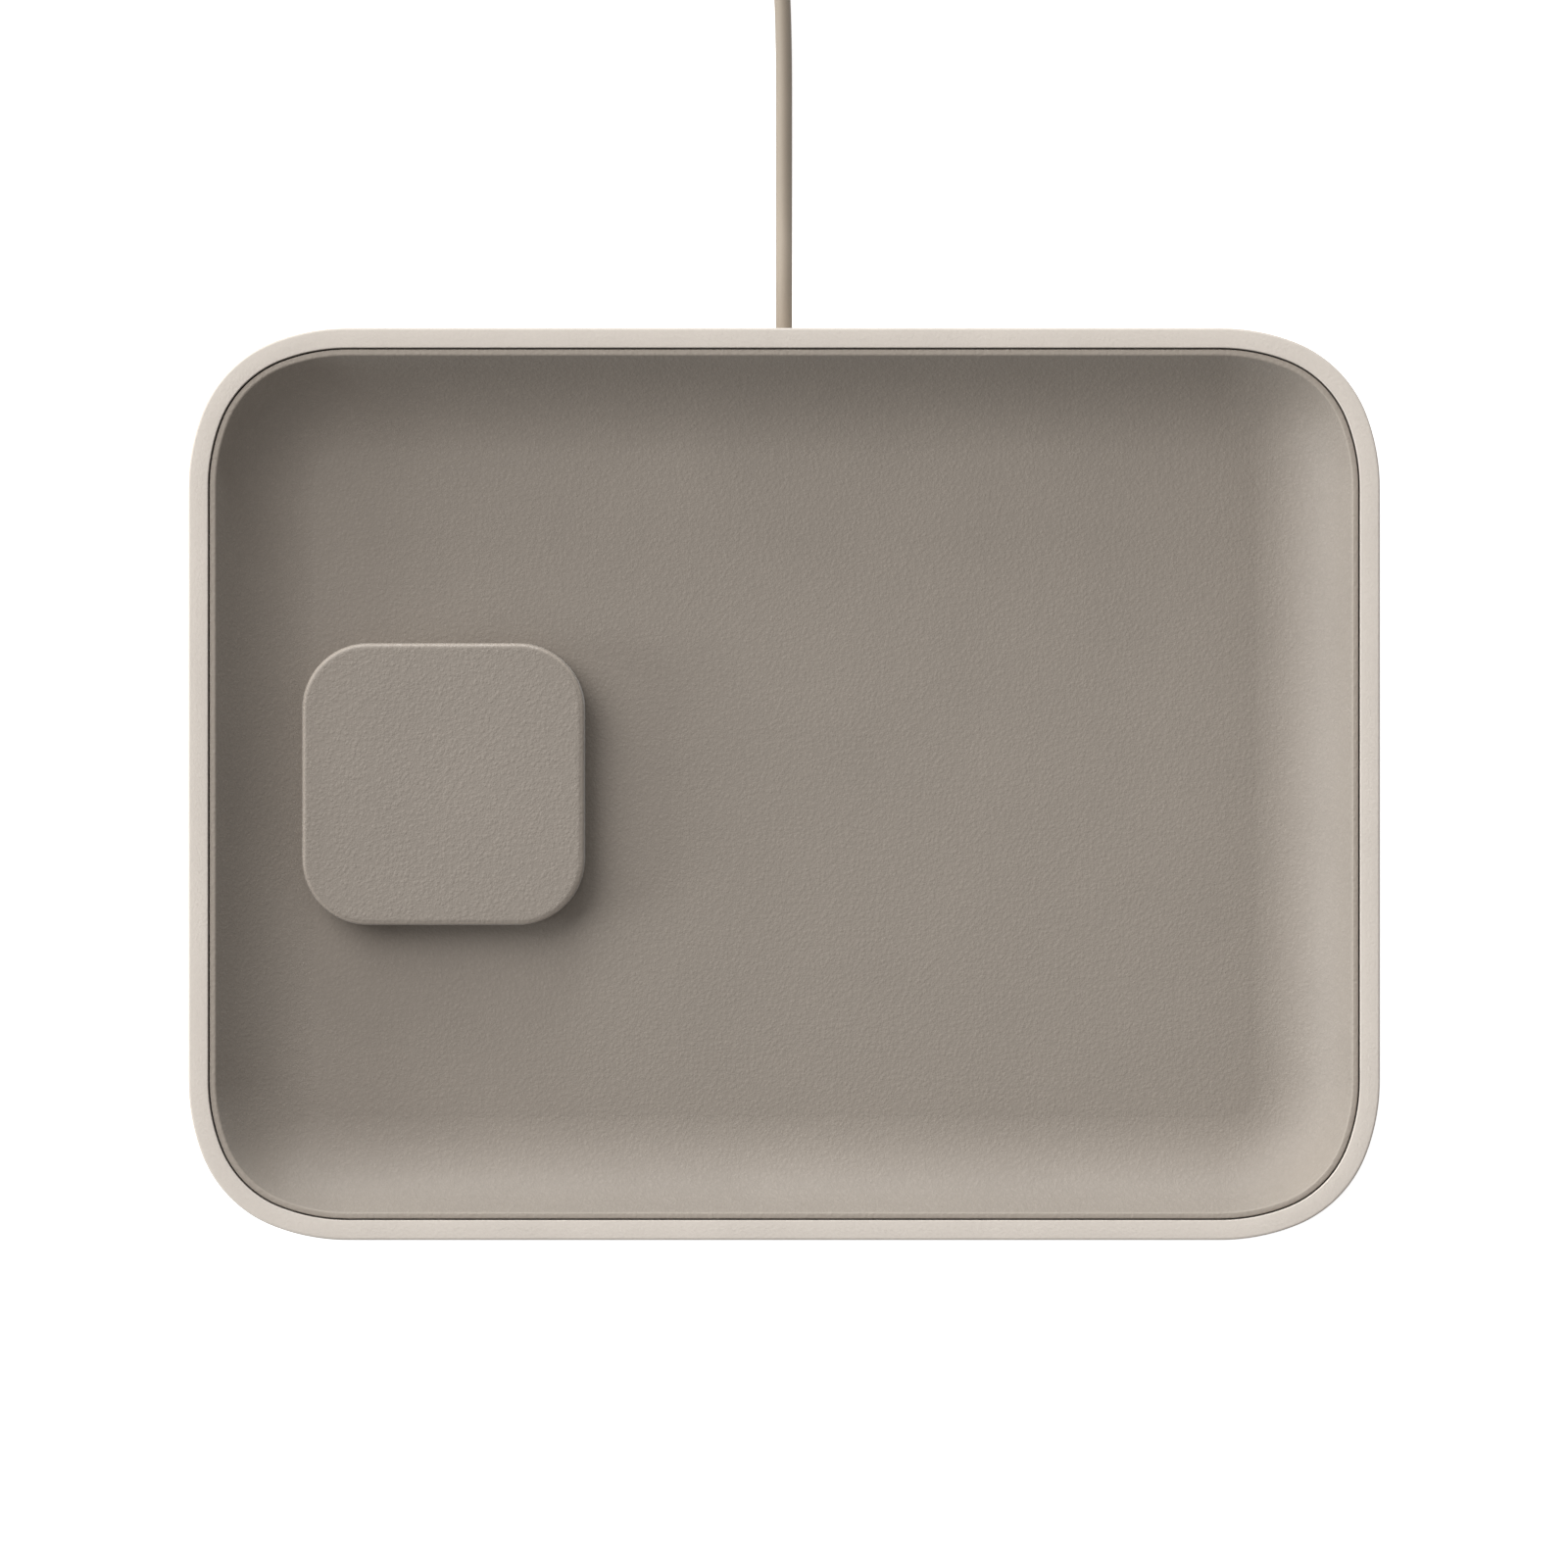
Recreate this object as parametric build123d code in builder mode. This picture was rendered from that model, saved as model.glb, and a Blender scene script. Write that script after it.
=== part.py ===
import os
from math import atan2, cos, degrees, pi, radians, sin, sqrt, tan

from build123d import *

os.makedirs("parts", exist_ok=True)

# Tray outline, seen from above: each corner eases in on a wide arc, turns on a tighter one and eases out
tray_length = 228.0
tray_width = 174.5
lead_radius = 39.4
corner_radius = 24.0
lead_turn = 21.0

# Small round pieces and holes that nothing shows are drawn with this many sides
small_sides = 8

# Heights, from the table up
foot_height = 1.0
base_thickness = 1.8
cavity_height = 4.8
insert_thickness = 1.6
liner_thickness = 1.1
dish_depth = 11.8
edge_drop = 0.3

# Outer shell
rim_width = 3.8
rim_thickness = 2.4
rim_gap = 0.3
rim_outer_bevel = 0.7
rim_inner_bevel = 0.4
wall_thickness = 2.2
base_lip = 1.1
base_bevel = 0.5
fit_clearance = 0.2

# Leather-lined dish
dish_radius = 18.2
least_corner_round = 1.5
bed_corners = 4
insert_wall = 1.6
core_width = 6.0

# Ribs under the dish
rib_thickness = 1.2
rib_depth = 1.6
rib_margin = 12.0
ribs_across = 5
ribs_along = 3

# Base plate, its screws and the feet
screw_inset = 29.0
screw_boss_radius = 3.0
screw_radius = 1.3
screw_head_radius = 2.5
screw_head_height = 1.2
screw_head_drop = 0.2
screw_clearance = 0.25
screw_grip = 3.6
foot_inset = 20.0
foot_radius = 6.0

# Charging pad: a leather-covered block that stands on the dish floor, as wide as its coil needs
pad_coil_margin = 3.05
pad_height = 6.6
pad_end_margin = 21.15
pad_y = 0.0
pad_corner_radius = 12.7
pad_bevel = 1.2
pad_leather_thickness = 1.0
pad_wall = 1.6
pad_roof = 1.4
pad_seat_gap = 0.05
pad_base_thickness = 1.4
pad_screw_inset = 7.65
pad_boss_radius = 2.5
pad_screw_radius = 1.0
pad_screw_head_radius = 2.0
pad_screw_head_height = 1.2
pad_screw_bite = 2.6

# Parts inside the pad
coil_outer_radius = 21.5
coil_inner_radius = 10.0
coil_thickness = 1.1
winding_sides = 24
ferrite_chamfer = 10.0
ferrite_thickness = 1.0
ferrite_notch = 5.0
coil_wire_radius = 0.4
coil_wire_spacing = 2.0
thermistor_size = 4.0
thermistor_height = 1.0
pad_frame_width = 10.35
board_seat = 4.0
board_thickness = 1.0
board_chamfer = 3.0
chip_size = 6.0
chip_height = 0.9
chip_place_share = (-0.24, 0.24)
inductor_size = 7.0
inductor_height = 3.0
inductor_place_share = (-0.26, -0.24)
capacitor_length = 3.2
capacitor_width = 1.6
capacitor_height = 1.4
capacitor_pitch = 2.4
capacitor_count = 4
capacitor_place_share = (0.24, -0.26)
connector_length = 9.0
connector_width = 7.0
connector_height = 1.4
connector_x_offset = 7.0
connector_y_offset = 7.0
lead_plug_drop = 1.2

# Lead: its own section is an eight-sided one of the round cord's area
cord_diameter = 3.2
cord_sides = 8
lead_headroom = 0.2
lead_pad_run = 15.0
grommet_radius = 2.8
grommet_flange = 0.8
grommet_neck_radius = 2.3
grommet_inner_radius = 2.9
grommet_inner_length = 1.6
clamp_inset = 29.25
clamp_to_turn = 16.0
clamp_length = 16.0
clamp_width = 6.0
clamp_thickness = 1.2
clamp_peg_spacing = 10.8
clamp_peg_radius = 0.9
clamp_boss_radius = 2.2

ease_share = 0.45

# Put-away coil of the free cord, whose turns are drawn square in section
turn_gap = 0.6
mid_turn_share = 12.0
half_turns_a_layer = 5
layers = 2
turn_sides = 4
tie_thickness = 0.6
tie_width = 8.0
tie_clearance = 0.2

# Plug on the far end
plug_width = 10.6
plug_thickness = 6.4
plug_length = 20.0
plug_side_bevel = 1.8
plug_end_bevel = 0.7
relief_length = 9.0
relief_small_radius = 2.1
relief_large_radius = 2.8
usb_width = 8.25
usb_thickness = 2.4
usb_wall = 0.3
usb_reach = 6.65
usb_seat = 2.0
usb_core_length = 4.0

# Levels that follow from the heights
base_bottom = foot_height
base_top = base_bottom + base_thickness
insert_bottom = base_top + cavity_height
insert_top = insert_bottom + insert_thickness
floor_level = insert_top + liner_thickness
edge_level = floor_level + dish_depth
tray_top = edge_level + edge_drop
rim_underside = tray_top - rim_thickness

# The dish wall is placed so that its cut edge stands one gap inside the rim
floor_round = min(dish_radius, corner_radius - rim_width - rim_gap - least_corner_round)
edge_run = sqrt((floor_round + liner_thickness) ** 2 - (floor_round - dish_depth) ** 2)
dish_inset = rim_width + rim_gap + edge_run - floor_round

# Places that follow from the pad and the rear wall
ferrite_size = 2 * coil_outer_radius
pad_size = ferrite_size + 2 * (pad_coil_margin + pad_wall + pad_leather_thickness)
pad_screw_spacing = pad_size - 2 * pad_screw_inset
pad_x = pad_end_margin + (pad_size - tray_length) / 2
pad_base_inset = pad_leather_thickness + pad_wall + fit_clearance
window_size = pad_size - 2 * (pad_base_inset + pad_frame_width)
board_size = window_size + 2 * board_seat
rear_face = tray_width / 2
clamp_y = rear_face - clamp_inset
lead_turn_y = clamp_y - clamp_to_turn

# Levels inside the pad
pad_bottom = floor_level + pad_seat_gap
pad_top = floor_level + pad_height
pad_ceiling = pad_top - pad_leather_thickness - pad_roof
pad_base_top = insert_top + pad_base_thickness
board_top = pad_base_top + board_thickness
coil_bottom = pad_ceiling - coil_thickness
ferrite_bottom = coil_bottom - ferrite_thickness

# Lead levels
cord_radius = cord_diameter / 2
cord_flat = cord_radius * sqrt(pi / cord_sides / tan(pi / cord_sides))
cord_corner = cord_flat / cos(pi / cord_sides)
turn_corner = cord_radius * sqrt(pi / turn_sides / tan(pi / turn_sides)) / cos(pi / turn_sides)
lead_level = insert_bottom - lead_headroom - cord_radius
lead_plug_bottom = lead_level - cord_radius - lead_plug_drop + lead_headroom
connector_x = pad_x + connector_x_offset
connector_y = pad_y + connector_y_offset


def peg(radius):
    # Its corners lie on the round piece's circle
    return RegularPolygon(radius, small_sides)


def hole(radius):
    # Its flats lie on the round hole's circle
    return RegularPolygon(radius, small_sides, major_radius=False)


def grid_about(centre_x, centre_y, step_x, step_y):
    return [
        Location((centre_x + side_x * step_x / 2, centre_y + side_y * step_y / 2))
        for side_x in (-1, 1)
        for side_y in ((-1, 1) if step_y else (0,))
    ]


def soft_rectangle(length, width, lead, main, turn, inset):
    # The walls of one part are this outline at several insets, so its arcs share their centres
    swing = radians(turn)
    reach = lead * (1 - cos(swing) + sin(swing)) + main * (cos(swing) - sin(swing))
    long_run = length - 2 * reach
    short_run = width - 2 * reach
    corner = ((lead - inset, turn), (main - inset, 90 - 2 * turn), (lead - inset, turn))
    front = inset - width / 2
    with BuildSketch() as outline:
        with BuildLine():
            edge = Line((-long_run / 2, front), (long_run / 2, front))
            for run in (short_run, long_run, short_run, 0):
                for radius, angle in corner:
                    edge = JernArc(edge @ 1, edge % 1, radius, angle)
                if run:
                    edge = Line(edge @ 1, edge @ 1 + run * (edge % 1))
        make_face()
    return outline.sketch


def tray_outline(inset):
    return soft_rectangle(tray_length, tray_width, lead_radius, corner_radius, lead_turn, inset)


def pad_outline(inset):
    side = pad_size - 2 * inset
    with BuildSketch() as outline:
        with Locations((pad_x, pad_y)):
            RectangleRounded(side, side, pad_corner_radius - inset)
    return outline.sketch


def dish_form():
    # The room inside the leather; the floor meets the wall in one big round
    with BuildPart() as form:
        with BuildSketch(Plane.XY.offset(floor_level)):
            add(tray_outline(dish_inset))
        extrude(amount=floor_round + dish_depth)
        fillet(form.edges().group_by(Axis.Z)[0], floor_round)
    return form.part


def bed_form(grow):
    # The same room for the hidden faces behind the leather: straight bands that touch its round
    radius = floor_round + grow
    reach = radius / cos(pi / 4 / bed_corners)
    profile = []
    for corner in range(bed_corners):
        swing = pi / 2 * (corner + 1 / 2) / bed_corners
        profile.append((radius - reach * sin(swing), radius - reach * cos(swing)))
    with BuildPart() as form:
        for (low_inset, low), (high_inset, high) in zip(profile, profile[1:]):
            with BuildSketch(Plane.XY.offset(floor_level - grow + high)):
                add(tray_outline(dish_inset - grow + high_inset))
            extrude(amount=low - high, taper=degrees(atan2(low_inset - high_inset, high - low)))
        with BuildSketch(Plane.XY.offset(floor_level - grow + profile[-1][1])):
            add(tray_outline(dish_inset - grow))
        extrude(amount=dish_depth)
    return form.part


def pad_form(inset):
    # The pad's block, taken in on its sides and top by the cover's thickness
    with BuildPart() as form:
        with BuildSketch(Plane.XY.offset(pad_bottom)):
            add(pad_outline(inset))
        extrude(amount=pad_top - inset - pad_bottom)
        chamfer(form.edges().group_by(Axis.Z)[-1], pad_bevel - inset / 2)
    return form.part


def eased_radii(points):
    # Each bend is as large as its two runs allow
    radii = []
    for before, corner, after in zip(points, points[1:], points[2:]):
        arriving = corner - before
        leaving = after - corner
        half_turn = radians(arriving.get_angle(leaving)) / 2
        radii.append(ease_share * min(arriving.length, leaving.length) / tan(half_turn))
    return radii


def cord_along(name, points):
    # One tube along straight runs joined by tangent arcs
    radii = eased_radii(points)
    start = points[0]
    with BuildPart() as tube:
        with BuildLine() as route:
            FilletPolyline(*points, radius=radii)
        with BuildSketch(Plane(start, z_dir=points[1] - start)):
            RegularPolygon(cord_corner, cord_sides, rotation=180 / cord_sides)
        sweep(path=route.wires()[0])
    length = route.wires()[0].length
    section = cord_sides * cord_flat**2 * tan(pi / cord_sides)
    print(f"{name}: length {length:.1f}, radii {[round(radius, 1) for radius in radii]},",
          f"volume over section times length {tube.part.volume / (section * length):.4f}")
    tube.part.label = name
    export_step(tube.part, f"parts/{name}.step")
    return length


# Outer shell: a wall with a rim that turns in over the dish
with BuildPart() as outer_shell:
    with BuildSketch(Plane.XY.offset(base_bottom)):
        add(tray_outline(0))
    extrude(amount=tray_top - base_bottom)
    with BuildSketch(Plane.XY.offset(base_bottom)):
        add(tray_outline(base_lip))
    extrude(amount=base_thickness, mode=Mode.SUBTRACT)
    with BuildSketch(Plane.XY.offset(base_top)):
        add(tray_outline(wall_thickness))
    extrude(amount=rim_underside - base_top, mode=Mode.SUBTRACT)
    with BuildSketch(Plane.XY.offset(rim_underside)):
        add(tray_outline(rim_width))
    extrude(amount=rim_thickness, mode=Mode.SUBTRACT)
    chamfer(outer_shell.faces().sort_by(Axis.Z)[-1].outer_wire().edges(), rim_outer_bevel)
    chamfer(outer_shell.faces().sort_by(Axis.Z)[-1].inner_wires()[0].edges(), rim_inner_bevel)
    chamfer(outer_shell.faces().sort_by(Axis.Z)[0].outer_wire().edges(), min(base_bevel, base_lip / 2))
    with Locations(Plane((0, rear_face, lead_level), x_dir=(1, 0, 0), z_dir=(0, 1, 0))):
        CounterBoreHole(grommet_neck_radius, grommet_radius, grommet_flange, wall_thickness)
outer_shell.part.label = "outer_shell"
export_step(outer_shell.part, "parts/outer_shell.step")

# Screw and foot places
base_screw_grid = grid_about(0, 0, tray_length - 2 * screw_inset, tray_width - 2 * screw_inset)
foot_grid = grid_about(0, 0, tray_length - 2 * foot_inset, tray_width - 2 * foot_inset)
pad_screw_grid = grid_about(pad_x, pad_y, pad_screw_spacing, pad_screw_spacing)
clamp_peg_grid = grid_about(0, clamp_y, clamp_peg_spacing, 0)

# Insert: the moulded dish behind the leather, held under the rim and cored out from below round its edge
insert_inset = wall_thickness + fit_clearance
core_inset = insert_inset + insert_wall
core_drop = floor_round + liner_thickness
core_reach = floor_round + dish_inset - core_inset - core_width
core_top = floor_level + floor_round - sqrt(core_drop**2 - core_reach**2) - insert_thickness
clamp_underside = lead_level - cord_radius - clamp_thickness
rib_field_length = tray_length / 2 - dish_inset - floor_round - rib_margin
rib_field_width = tray_width - 2 * (dish_inset + floor_round + rib_margin)
rib_field_centre = rib_margin + rib_field_length / 2
with BuildPart() as tray_insert:
    with BuildSketch(Plane.XY.offset(insert_bottom)):
        add(tray_outline(insert_inset))
    extrude(amount=rim_underside - insert_bottom)
    add(bed_form(liner_thickness), mode=Mode.SUBTRACT)
    with BuildSketch(Plane.XY.offset(insert_bottom)):
        add(tray_outline(core_inset))
        add(tray_outline(core_inset + core_width), mode=Mode.SUBTRACT)
    extrude(amount=core_top - insert_bottom, mode=Mode.SUBTRACT)
    with BuildSketch(Plane.XY.offset(insert_bottom - rib_depth)):
        with Locations((rib_field_centre, 0)):
            with GridLocations(rib_field_length / (ribs_across - 1), 0, ribs_across, 1):
                Rectangle(rib_thickness, rib_field_width)
            with GridLocations(0, rib_field_width / (ribs_along - 1), 1, ribs_along):
                Rectangle(rib_field_length + rib_thickness, rib_thickness)
    extrude(amount=rib_depth)
    with BuildSketch(Plane.XY.offset(base_top)):
        with Locations(*base_screw_grid):
            peg(screw_boss_radius)
    extrude(amount=cavity_height)
    with BuildSketch(Plane.XY.offset(base_top)):
        with Locations(*base_screw_grid):
            hole(screw_radius)
    extrude(amount=screw_grip + screw_clearance, mode=Mode.SUBTRACT)
    with BuildSketch(Plane.XY.offset(clamp_underside + clamp_thickness)):
        with Locations(*clamp_peg_grid):
            peg(clamp_boss_radius)
    extrude(amount=cord_diameter + lead_headroom)
    with BuildSketch(Plane.XY.offset(clamp_underside)):
        with Locations(*clamp_peg_grid):
            peg(clamp_peg_radius)
    extrude(amount=clamp_thickness)
    with BuildSketch(Plane.XY.offset(insert_bottom)):
        with Locations((pad_x, pad_y)):
            Rectangle(window_size, window_size)
        with Locations(*pad_screw_grid):
            hole(pad_screw_radius + screw_clearance)
    extrude(amount=insert_thickness, mode=Mode.SUBTRACT)
    with BuildSketch(Plane.XY.offset(insert_bottom)):
        with Locations((0, rear_face - core_inset)):
            Rectangle(2 * (grommet_inner_radius + fit_clearance), 2 * core_inset)
    extrude(amount=lead_level + grommet_inner_radius + fit_clearance - insert_bottom, mode=Mode.SUBTRACT)
tray_insert.part.label = "tray_insert"
export_step(tray_insert.part, "parts/tray_insert.step")

# Leather liner: one moulded skin, cut level just under the rim, with a window for the pad's seat
with BuildPart() as leather_liner:
    add(bed_form(liner_thickness))
    add(dish_form(), mode=Mode.SUBTRACT)
    split(bisect_by=Plane.XY.offset(edge_level), keep=Keep.BOTTOM)
    with BuildSketch(Plane.XY.offset(insert_top)):
        add(pad_outline(pad_base_inset - fit_clearance))
    extrude(amount=liner_thickness, mode=Mode.SUBTRACT)
leather_liner.part.label = "leather_liner"
export_step(leather_liner.part, "parts/leather_liner.step")

# Base plate, let into the shell from below
with BuildPart() as base_plate:
    with BuildSketch(Plane.XY.offset(base_bottom)):
        add(tray_outline(base_lip + fit_clearance))
    extrude(amount=base_thickness)
    with BuildSketch(Plane.XY.offset(base_bottom)):
        with Locations(*base_screw_grid):
            hole(screw_head_radius + screw_clearance)
    extrude(amount=screw_head_drop + screw_head_height, mode=Mode.SUBTRACT)
    with BuildSketch(Plane.XY.offset(base_bottom)):
        with Locations(*base_screw_grid):
            hole(screw_radius + screw_clearance)
    extrude(amount=base_thickness, mode=Mode.SUBTRACT)
base_plate.part.label = "base_plate"
export_step(base_plate.part, "parts/base_plate.step")

# Rubber feet, stuck on under the base plate
with BuildPart() as rubber_feet:
    with BuildSketch():
        with Locations(*foot_grid):
            Circle(foot_radius)
    extrude(amount=foot_height)
rubber_feet.part.label = "rubber_feet"
export_step(rubber_feet.part, "parts/rubber_feet.step")


def pan_screw(radius, head_radius, head_height, length):
    # Head down at the origin
    with BuildPart() as screw:
        with BuildSketch():
            peg(head_radius)
        extrude(amount=head_height)
        with BuildSketch():
            peg(radius)
        extrude(amount=head_height + length)
    return screw.part


def write_group(name, solids):
    group = Compound(label=name, children=solids)
    export_step(group, f"parts/{name}.step")


# Screws that close the tray: they draw the insert's bosses down onto the base plate
head_level = base_bottom + screw_head_drop
base_screw_length = base_top + screw_grip - head_level - screw_head_height
base_screw = pan_screw(screw_radius, screw_head_radius, screw_head_height, base_screw_length)
write_group("base_screws", [
    base_screw.moved(Location((0, 0, head_level)) * place) for place in base_screw_grid
])

# Pad housing, open below, with a boss at each corner
with BuildPart() as pad_housing:
    add(pad_form(pad_leather_thickness))
    with BuildSketch(Plane.XY.offset(pad_bottom)):
        add(pad_outline(pad_leather_thickness + pad_wall))
    extrude(amount=pad_ceiling - pad_bottom, mode=Mode.SUBTRACT)
    with BuildSketch(Plane.XY.offset(pad_base_top)):
        with Locations(*pad_screw_grid):
            peg(pad_boss_radius)
    extrude(amount=pad_ceiling - pad_base_top)
    with BuildSketch(Plane.XY.offset(pad_base_top)):
        with Locations(*pad_screw_grid):
            hole(pad_screw_radius)
    extrude(amount=pad_screw_bite + screw_clearance, mode=Mode.SUBTRACT)
pad_housing.part.label = "pad_housing"
export_step(pad_housing.part, "parts/pad_housing.step")

# Leather cover of the pad, glued over the housing
with BuildPart() as pad_leather:
    add(pad_form(0))
    add(pad_form(pad_leather_thickness), mode=Mode.SUBTRACT)
pad_leather.part.label = "pad_leather"
export_step(pad_leather.part, "parts/pad_leather.step")

# Pad base: a frame that sits on the insert inside the liner's window and carries the board
with BuildPart() as pad_base:
    with BuildSketch(Plane.XY.offset(insert_top)):
        add(pad_outline(pad_base_inset))
        with Locations((pad_x, pad_y)):
            Rectangle(window_size, window_size, mode=Mode.SUBTRACT)
        with Locations(*pad_screw_grid):
            RegularPolygon(
                pad_screw_radius + screw_clearance, small_sides, major_radius=False, mode=Mode.SUBTRACT,
            )
    extrude(amount=pad_base_thickness)
pad_base.part.label = "pad_base"
export_step(pad_base.part, "parts/pad_base.step")

# Screws from under the insert into the housing's bosses
pad_screw = pan_screw(
    pad_screw_radius, pad_screw_head_radius, pad_screw_head_height,
    insert_thickness + pad_base_thickness + pad_screw_bite,
)
pad_screw_level = insert_bottom - pad_screw_head_height
write_group("pad_screws", [
    pad_screw.moved(Location((0, 0, pad_screw_level)) * place) for place in pad_screw_grid
])

# Charging coil: flat winding under the pad's roof, with its two wires down to the board
wire_y = pad_y + coil_outer_radius - ferrite_notch / 2
with BuildPart() as charging_coil:
    with BuildSketch(Plane.XY.offset(coil_bottom)):
        with Locations((pad_x, pad_y)):
            RegularPolygon(coil_outer_radius, winding_sides)
            RegularPolygon(coil_inner_radius, winding_sides, mode=Mode.SUBTRACT)
    extrude(amount=coil_thickness)
    with BuildSketch(Plane.XY.offset(board_top)):
        with Locations((pad_x, wire_y)):
            with GridLocations(coil_wire_spacing, 0, 2, 1):
                peg(coil_wire_radius)
    extrude(amount=coil_bottom - board_top)
charging_coil.part.label = "charging_coil"
export_step(charging_coil.part, "parts/charging_coil.step")

# Ferrite sheet under the coil, notched where the wires pass
with BuildPart() as coil_ferrite:
    with BuildSketch(Plane.XY.offset(ferrite_bottom)) as ferrite_face:
        with Locations((pad_x, pad_y)):
            Rectangle(ferrite_size, ferrite_size)
        chamfer(ferrite_face.vertices(), ferrite_chamfer)
        with Locations((pad_x, pad_y + ferrite_size / 2)):
            Rectangle(ferrite_notch, 2 * ferrite_notch, mode=Mode.SUBTRACT)
    extrude(amount=ferrite_thickness)
coil_ferrite.part.label = "coil_ferrite"
export_step(coil_ferrite.part, "parts/coil_ferrite.step")

# Temperature sensor against the roof, in the coil's eye
with BuildPart() as coil_thermistor:
    with BuildSketch(Plane.XY.offset(pad_ceiling)):
        with Locations((pad_x, pad_y)):
            Rectangle(thermistor_size, thermistor_size)
    extrude(amount=-thermistor_height)
coil_thermistor.part.label = "coil_thermistor"
export_step(coil_thermistor.part, "parts/coil_thermistor.step")

# Circuit board on the pad base
with BuildPart() as circuit_board:
    with BuildSketch(Plane.XY.offset(pad_base_top)) as board_face:
        with Locations((pad_x, pad_y)):
            Rectangle(board_size, board_size)
        chamfer(board_face.vertices(), board_chamfer)
    extrude(amount=board_thickness)
circuit_board.part.label = "circuit_board"
export_step(circuit_board.part, "parts/circuit_board.step")


def board_place(place_share):
    return (pad_x + window_size * place_share[0], pad_y + window_size * place_share[1])


# Board parts hang from its underside into the insert's window
with BuildPart() as power_chip:
    with BuildSketch(Plane.XY.offset(pad_base_top)):
        with Locations(board_place(chip_place_share)):
            Rectangle(chip_size, chip_size)
    extrude(amount=-chip_height)
power_chip.part.label = "power_chip"
export_step(power_chip.part, "parts/power_chip.step")

with BuildPart() as power_inductor:
    with BuildSketch(Plane.XY.offset(pad_base_top)):
        with Locations(board_place(inductor_place_share)):
            Rectangle(inductor_size, inductor_size)
    extrude(amount=-inductor_height)
power_inductor.part.label = "power_inductor"
export_step(power_inductor.part, "parts/power_inductor.step")

with BuildPart() as resonant_capacitors:
    with BuildSketch(Plane.XY.offset(pad_base_top)):
        with Locations(board_place(capacitor_place_share)):
            with GridLocations(capacitor_pitch, 0, capacitor_count, 1):
                Rectangle(capacitor_width, capacitor_length)
    extrude(amount=-capacitor_height)
resonant_capacitors.part.label = "resonant_capacitors"
export_step(resonant_capacitors.part, "parts/resonant_capacitors.step")

with BuildPart() as lead_connector:
    with BuildSketch(Plane.XY.offset(pad_base_top)):
        with Locations((connector_x, connector_y)):
            Rectangle(connector_width, connector_length)
    extrude(amount=-connector_height)
lead_connector.part.label = "lead_connector"
export_step(lead_connector.part, "parts/lead_connector.step")

with BuildPart() as lead_plug:
    with BuildSketch(Plane.XY.offset(pad_base_top - connector_height)):
        with Locations((connector_x, connector_y)):
            Rectangle(connector_width, connector_length)
    extrude(amount=lead_plug_bottom - pad_base_top + connector_height)
lead_plug.part.label = "lead_plug"
export_step(lead_plug.part, "parts/lead_plug.step")

# Lead inside the tray: in at the grommet, under the clamp and across to the pad's window
lead_end_x = connector_x + connector_width / 2
inner_lead_length = cord_along("inner_lead", [
    Vector(0, rear_face, lead_level),
    Vector(0, lead_turn_y, lead_level),
    Vector(lead_end_x + lead_pad_run, connector_y, lead_level),
    Vector(lead_end_x, connector_y, lead_level),
])

# Clamp that holds the lead against a pull, staked onto two pegs of the insert
with BuildPart() as cord_clamp:
    with BuildSketch(Plane.XY.offset(clamp_underside)):
        with Locations((0, clamp_y)):
            Rectangle(clamp_length, clamp_width)
        with Locations(*clamp_peg_grid):
            RegularPolygon(clamp_peg_radius, small_sides, mode=Mode.SUBTRACT)
    extrude(amount=clamp_thickness)
cord_clamp.part.label = "cord_clamp"
export_step(cord_clamp.part, "parts/cord_clamp.step")

# Grommet: moulded onto the lead, flush with the rear wall
grommet_length = wall_thickness + grommet_inner_length
with BuildPart() as cord_grommet:
    with BuildSketch(Plane.XZ.offset(-rear_face)):
        with Locations((0, lead_level)):
            Circle(grommet_radius)
    extrude(amount=grommet_flange)
    with BuildSketch(Plane.XZ.offset(-rear_face)):
        with Locations((0, lead_level)):
            peg(grommet_neck_radius)
    extrude(amount=wall_thickness)
    with BuildSketch(Plane.XZ.offset(wall_thickness - rear_face)):
        with Locations((0, lead_level)):
            peg(grommet_inner_radius)
    extrude(amount=grommet_inner_length)
    with BuildSketch(Plane.XZ.offset(-rear_face)):
        with Locations((0, lead_level)):
            RegularPolygon(cord_corner, cord_sides, rotation=180 / cord_sides)
    extrude(amount=grommet_length, mode=Mode.SUBTRACT)
cord_grommet.part.label = "cord_grommet"
export_step(cord_grommet.part, "parts/cord_grommet.step")

# Free cord: out of the grommet, down to the table and straight back, with a small drift before the coil
coil_level = tie_thickness + cord_radius
straight_points = [
    Vector(0, rear_face, lead_level),
    Vector(0, 98, lead_level),
    Vector(0, 114, cord_radius),
    Vector(0, 158, cord_radius),
    Vector(-3, 178, coil_level),
    Vector(-3, 193, coil_level),
]
straight_length = cord_along("cord_straight", straight_points)

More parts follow.
